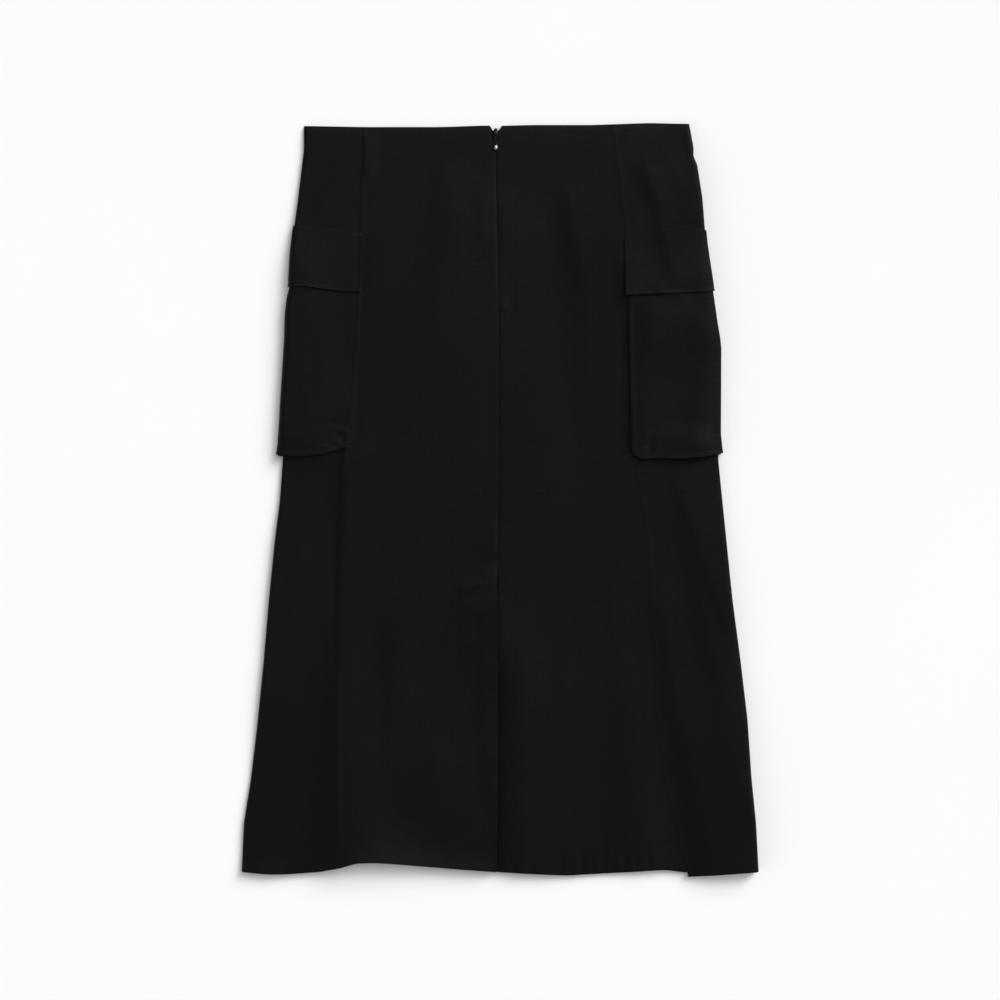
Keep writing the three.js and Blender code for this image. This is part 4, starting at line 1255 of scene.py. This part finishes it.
def pull():
    """A grid is drawn in to the drop's outline, given its window, wall and bevel, and crowned."""
    half = table("y half", [
        (0.45, 2.0), (-3.4, 2.0), (-5.2, 1.3), (-9.6, 1.55), (-12.4, 2.3), (-14.4, 2.7),
        (-16.2, 2.2), (-17.1, 1.1), (-17.3, 0),
    ])
    tip = -14.4 - 2.9 * np.sin(np.linspace(0.08, 1.57, 13))
    down = np.concatenate([np.linspace(0.45, -14.4, 46), tip])
    width = np.interp(-down, -half["y"], half["half"])
    width[-1] = 0.05
    tab, _, _ = start_grid("pull_metal", 20, len(down) - 1)
    for vertex in tab.data.vertices:
        row = round((0.5 - vertex.co.y) * (len(down) - 1))
        vertex.co = (vertex.co.x * 2 * width[row] * MM, down[row] * MM, PULL_WALL / 2 * MM)

    def in_window(face):
        return -3.4 * MM < face.center.y < -0.45 * MM and abs(face.center.x) < 1.15 * MM

    cut_away(tab, in_window)
    apply_modifier(tab, "SOLIDIFY", thickness=PULL_WALL * MM, offset=-1)
    bevelled(tab, 0.32)
    for vertex in tab.data.vertices:
        aside = vertex.co.x / (CROWN_HALF * MM)
        along = (vertex.co.y / MM - CROWN_AT) / CROWN_LONG
        if vertex.co.z > 0:
            vertex.co.z += CROWN_RISE * MM * math.sqrt(max(0, 1 - aside**2 - along**2))
    return settle(tab)


pull_metal = pull()
print("pull:", [round(v / MM, 1) for v in pull_metal.dimensions], "mm")

# %% [markdown]
# ## Ripstop
#
# Ripstop is a plain weave with a doubled thread every few millimetres both ways, which stands up as
# a fine grid. The pattern reads the sheet's own UV map, in metres, so the grid follows the cloth
# round the fold. The cloth is almost black and dull: what little light it returns comes from the
# faces of the threads, so the grid reads slightly lighter.

# %% Helpers for node materials
def set_inputs(node, inputs):
    """Sets constants on a node's sockets, and links the sockets that another node feeds."""
    for name, value in inputs.items():
        socket = node.inputs[name]
        if isinstance(value, bpy.types.NodeSocket):
            socket.id_data.links.new(value, socket)
        else:
            socket.default_value = value


def add_node(nodes, kind, inputs, **settings):
    node = nodes.new("ShaderNode" + kind)
    for setting, value in settings.items():
        setattr(node, setting, value)
    set_inputs(node, inputs)
    return node


def new_material(name):
    material = bpy.data.materials.new(name)
    material.use_nodes = True
    nodes = material.node_tree.nodes
    nodes.clear()
    surface = add_node(nodes, "BsdfPrincipled", {})
    add_node(nodes, "OutputMaterial", {"Surface": surface.outputs["BSDF"]})
    return material, nodes, surface


def combine(nodes, operation, *values):
    return add_node(nodes, "Math", dict(enumerate(values)), operation=operation).outputs[0]


def noise(nodes, place, scale, detail):
    inputs = {"Vector": place, "Scale": scale, "Detail": detail}
    return add_node(nodes, "TexNoise", inputs).outputs["Fac"]


def rescaled(nodes, value, low, high, to_low, to_high, **settings):
    return add_node(nodes, "MapRange", {
        "Value": value, "From Min": low, "From Max": high, "To Min": to_low, "To Max": to_high,
    }, **settings).outputs["Result"]


def two_tone(nodes, share, low, dark, high, light):
    ramp = add_node(nodes, "ValToRGB", {"Fac": share})
    for stop, place, colour in zip(ramp.color_ramp.elements, (low, high), (dark, light)):
        stop.position = place
        stop.color = (*colour, 1)
    return ramp.outputs["Color"]


def bump(nodes, height, strength, distance):
    inputs = {"Height": height, "Strength": strength, "Distance": distance}
    return add_node(nodes, "Bump", inputs).outputs["Normal"]


def grid_line(nodes, coordinate, pitch, wide):
    """1 on a thin line every pitch metres along a coordinate, fading to 0 beside it."""
    turns = combine(nodes, "MULTIPLY", coordinate, 1 / pitch)
    saw = combine(nodes, "PINGPONG", turns, 0.5)
    return rescaled(nodes, saw, 0, wide / pitch, 1, 0, interpolation_type="SMOOTHSTEP")


# %% The ripstop itself
PITCH_ACROSS, PITCH_DOWN, LINE_WIDE = 0.0064, 0.0060, 0.00045


def ripstop(name, dark, light):
    material, nodes, surface = new_material(name)
    place = add_node(nodes, "UVMap", {}, uv_map="weave").outputs["UV"]
    parts = add_node(nodes, "SeparateXYZ", {"Vector": place})
    lines_across = grid_line(nodes, parts.outputs["X"], PITCH_ACROSS, LINE_WIDE)
    lines_down = grid_line(nodes, parts.outputs["Y"], PITCH_DOWN, LINE_WIDE)
    grid = combine(nodes, "MAXIMUM", lines_across, lines_down)

    def threads(stretch_across, stretch_down):
        """Noise drawn out along one direction of the weave, as uneven yarn is."""
        stretch = {0: place, 1: (stretch_across, stretch_down, 1)}
        stretched = add_node(nodes, "VectorMath", stretch, operation="MULTIPLY")
        return noise(nodes, stretched.outputs["Vector"], 1, 2)

    weft, warp = threads(110, 800), threads(700, 90)
    tone = combine(nodes, "MULTIPLY", noise(nodes, place, 26, 4), 0.2)
    for layer, share in ((grid, 0.17), (weft, 0.7), (warp, 0.4)):
        tone = combine(nodes, "MULTIPLY_ADD", layer, share, tone)
    height = combine(nodes, "MULTIPLY", weft, 1.2)
    for layer, share in ((grid, 0.5), (warp, 0.7)):
        height = combine(nodes, "MULTIPLY_ADD", layer, share, height)
    set_inputs(surface, {
        "Base Color": two_tone(nodes, tone, 0.35, dark, 0.95, light),
        "Roughness": rescaled(nodes, tone, 0.45, 1.0, 0.66, 0.50),
        "Specular IOR Level": 0.098,
        "Sheen Weight": 0.045,
        "Sheen Roughness": 0.35,
        "Normal": bump(nodes, height, 0.5, 0.0001),
    })
    return material


cloth = ripstop("black_ripstop", (0.0006, 0.0006, 0.0007), (0.0028, 0.0027, 0.003))
print("material:", cloth.name)

# %% [markdown]
# ## Thread, tape and metal
#
# The threads are the same black, a little smoother, with their own twist. The zip's tape is matt
# and its coil has a faint shine. The slider and pull are enamelled black and glossy. The bright
# spot
# at the waist is a painted highlight: a patch of bright metal over the pull's crown.

# %% Thread, tape, coil and enamel
def spotted(name, dark, light, scale, roughness, specular, bump_mm, coat=0.0):
    """A plain material with a fine speckle, in three nodes and the surface."""
    material, nodes, surface = new_material(name)
    place = add_node(nodes, "TexCoord", {}).outputs["Object"]
    speckle = noise(nodes, place, scale, 3)
    set_inputs(surface, {
        "Base Color": two_tone(nodes, speckle, 0.3, dark, 0.7, light),
        "Normal": bump(nodes, speckle, 0.4, bump_mm * MM),
        "Roughness": roughness,
        "Specular IOR Level": specular,
        "Coat Weight": coat,
        "Coat Roughness": 0.05,
    })
    return material


def near_black(value, bluer=0.0002):
    return value, value, value + bluer


TWIST = 2600
ENAMEL = (near_black(0.002), near_black(0.004), 700, 0.25, 0.2, 0.01)
SPOOL = (near_black(0.004), near_black(0.009), TWIST)
thread = spotted("black_thread", *SPOOL, 0.6, 0.15, 0.05)
hem_thread = spotted("hem_thread", near_black(0.003), near_black(0.006), TWIST, 0.65, 0.09, 0.05)
tack_thread = spotted("bartack_thread", *SPOOL, 0.6, 0.17, 0.05)
tape_cloth = spotted(
    "zip_tape_cloth", near_black(0.004), near_black(0.008, 0.0004), 1800, 0.9, 0.05, 0.05)
coil_nylon = spotted("coil_nylon", near_black(0.005), near_black(0.009), 900, 0.45, 0.3, 0.02)
enamel = spotted("black_enamel", *ENAMEL, coat=0.4)


def painted_crown_highlight():
    """Painted highlight: bright metal over the pull's crown, fading into the enamel round it."""
    material = spotted("enamel_with_painted_highlight", *ENAMEL)
    nodes = material.node_tree.nodes
    surface = nodes["Principled BSDF"]
    place = add_node(nodes, "TexCoord", {}).outputs["Object"]
    crown = tuple((PIVOT + SHIFT + [0, CROWN_AT, 0]) * MM)
    centred = add_node(nodes, "VectorMath", {0: place, 1: crown}, operation="SUBTRACT")
    spread = {0: centred.outputs["Vector"], 1: (1 / (1.5 * MM), 1 / (2.2 * MM), 0)}
    scaled = add_node(nodes, "VectorMath", spread, operation="MULTIPLY")
    away = add_node(nodes, "VectorMath", {0: scaled.outputs["Vector"]}, operation="LENGTH")
    # The bright metal patch on the crown is a painted highlight.
    highlight_share = rescaled(nodes, away.outputs["Value"], 1.0, 0.75, 0, 1)
    painted = surface.inputs["Base Color"].links[0].from_socket
    colours = {"Factor": highlight_share, 6: painted, 7: (0.62, 0.61, 0.6, 1)}
    mixed = add_node(nodes, "Mix", colours, data_type="RGBA")
    set_inputs(surface, {"Base Color": mixed.outputs[2], "Metallic": highlight_share})
    return material


# %% Each piece gets its material
cloth_pieces = [
    front, back_left, back_right, side_left, side_right, facing,
    *pockets.values(), *gussets.values(), *flaps.values(),
]
body_stitches = [hem_stitches, waist_stitches, vent_stitches]
pocket_and_flap_stitches = [*pocket_stitches.values(), *flap_stitches.values()]
thread_pieces = [*body_stitches, *pocket_and_flap_stitches, *tacks.values()]
for pieces, material in (
    (cloth_pieces, cloth), (body_stitches, hem_thread), (pocket_and_flap_stitches, thread),
    (tacks.values(), tack_thread), ([coil], coil_nylon), ([slider_metal], enamel),
    ([pull_metal], painted_crown_highlight()), ([frame["nodes"]["zip_tape"]], tape_cloth),
):
    for piece in pieces:
        piece.data.materials.clear()
        piece.data.materials.append(material)
print(len(cloth_pieces), "cloth pieces,", len(thread_pieces), "rows of stitching")

# %% [markdown]
# ## What each piece is, and what it stands for
#
# Every piece rides on one of the two bodies: the pull swings, and everything else is the skirt.
# Each cloth piece replaces its solid in the frame, and that solid is hidden.

# %% Bodies, and the frame's solids hidden
for piece in [*cloth_pieces, *thread_pieces, coil, slider_metal]:
    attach(piece, "skirt")
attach(pull_metal, "pull")
for piece, node in [
    (front, "front_panel"), (back_left, "back_panel_left"), (back_right, "back_panel_right"),
    (side_left, "side_panel_left"), (side_right, "side_panel_right"),
    (pockets[-1], "pocket_face_left"), (pockets[1], "pocket_face_right"),
    (gussets[-1], "pocket_gusset_left"), (gussets[1], "pocket_gusset_right"),
    (flaps[-1], "pocket_flap_left"), (flaps[1], "pocket_flap_right"),
    (slider_metal, "zip_slider"), (pull_metal, "zip_pull"),
]:
    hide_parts(node)

# %% [markdown]
# ## Floor and light
#
# The skirt lies on a white surface. A broad, low light from the upper right draws the folds and
# leaves a soft shadow at the left and below. A softer one stands higher on the same side, a weak
# one comes back from the white wall on the left, and an even white surround fills the rest.

# %% Floor, lights and surround
FLOOR_SIZE, FLOOR_Z = 30, -0.0003
SURROUND_STRENGTH = 0.328
bpy.ops.object.select_all(action="DESELECT")
bpy.ops.mesh.primitive_plane_add(size=FLOOR_SIZE, location=(0, 0, FLOOR_Z))
floor = bpy.context.object
floor.name = floor.data.name = "white_floor"
bpy.ops.object.transform_apply(location=True, rotation=True, scale=True)
floor.data.materials.append(
    spotted("white_surface", (0.895, 0.895, 0.895), (0.905, 0.905, 0.905), 3, 0.9, 0.0, 0.0))


def light_from(name, azimuth, elevation, strength, softness):
    sun = bpy.data.lights.new(name, "SUN")
    sun.energy = strength
    sun.angle = math.radians(softness)
    lamp = bpy.data.objects.new(name, sun)
    lamp.rotation_euler = (math.radians(90 - elevation), 0, math.radians(azimuth + 90))
    bpy.context.scene.collection.objects.link(lamp)


light_from("window_side", azimuth=45, elevation=30, strength=2.34, softness=30)
light_from("softbox_above", azimuth=45, elevation=54, strength=1.25, softness=44)
light_from("white_wall_left", azimuth=200, elevation=14, strength=0.7, softness=60)
surround = bpy.data.worlds.new("white_surround")
surround.use_nodes = True
sky = surround.node_tree.nodes["Background"]
sky.inputs["Color"].default_value = (1, 1, 1, 1)
sky.inputs["Strength"].default_value = SURROUND_STRENGTH
bpy.context.scene.world = surround
bpy.context.scene.view_settings.view_transform = "Standard"
print("lights:", len(bpy.data.lights))
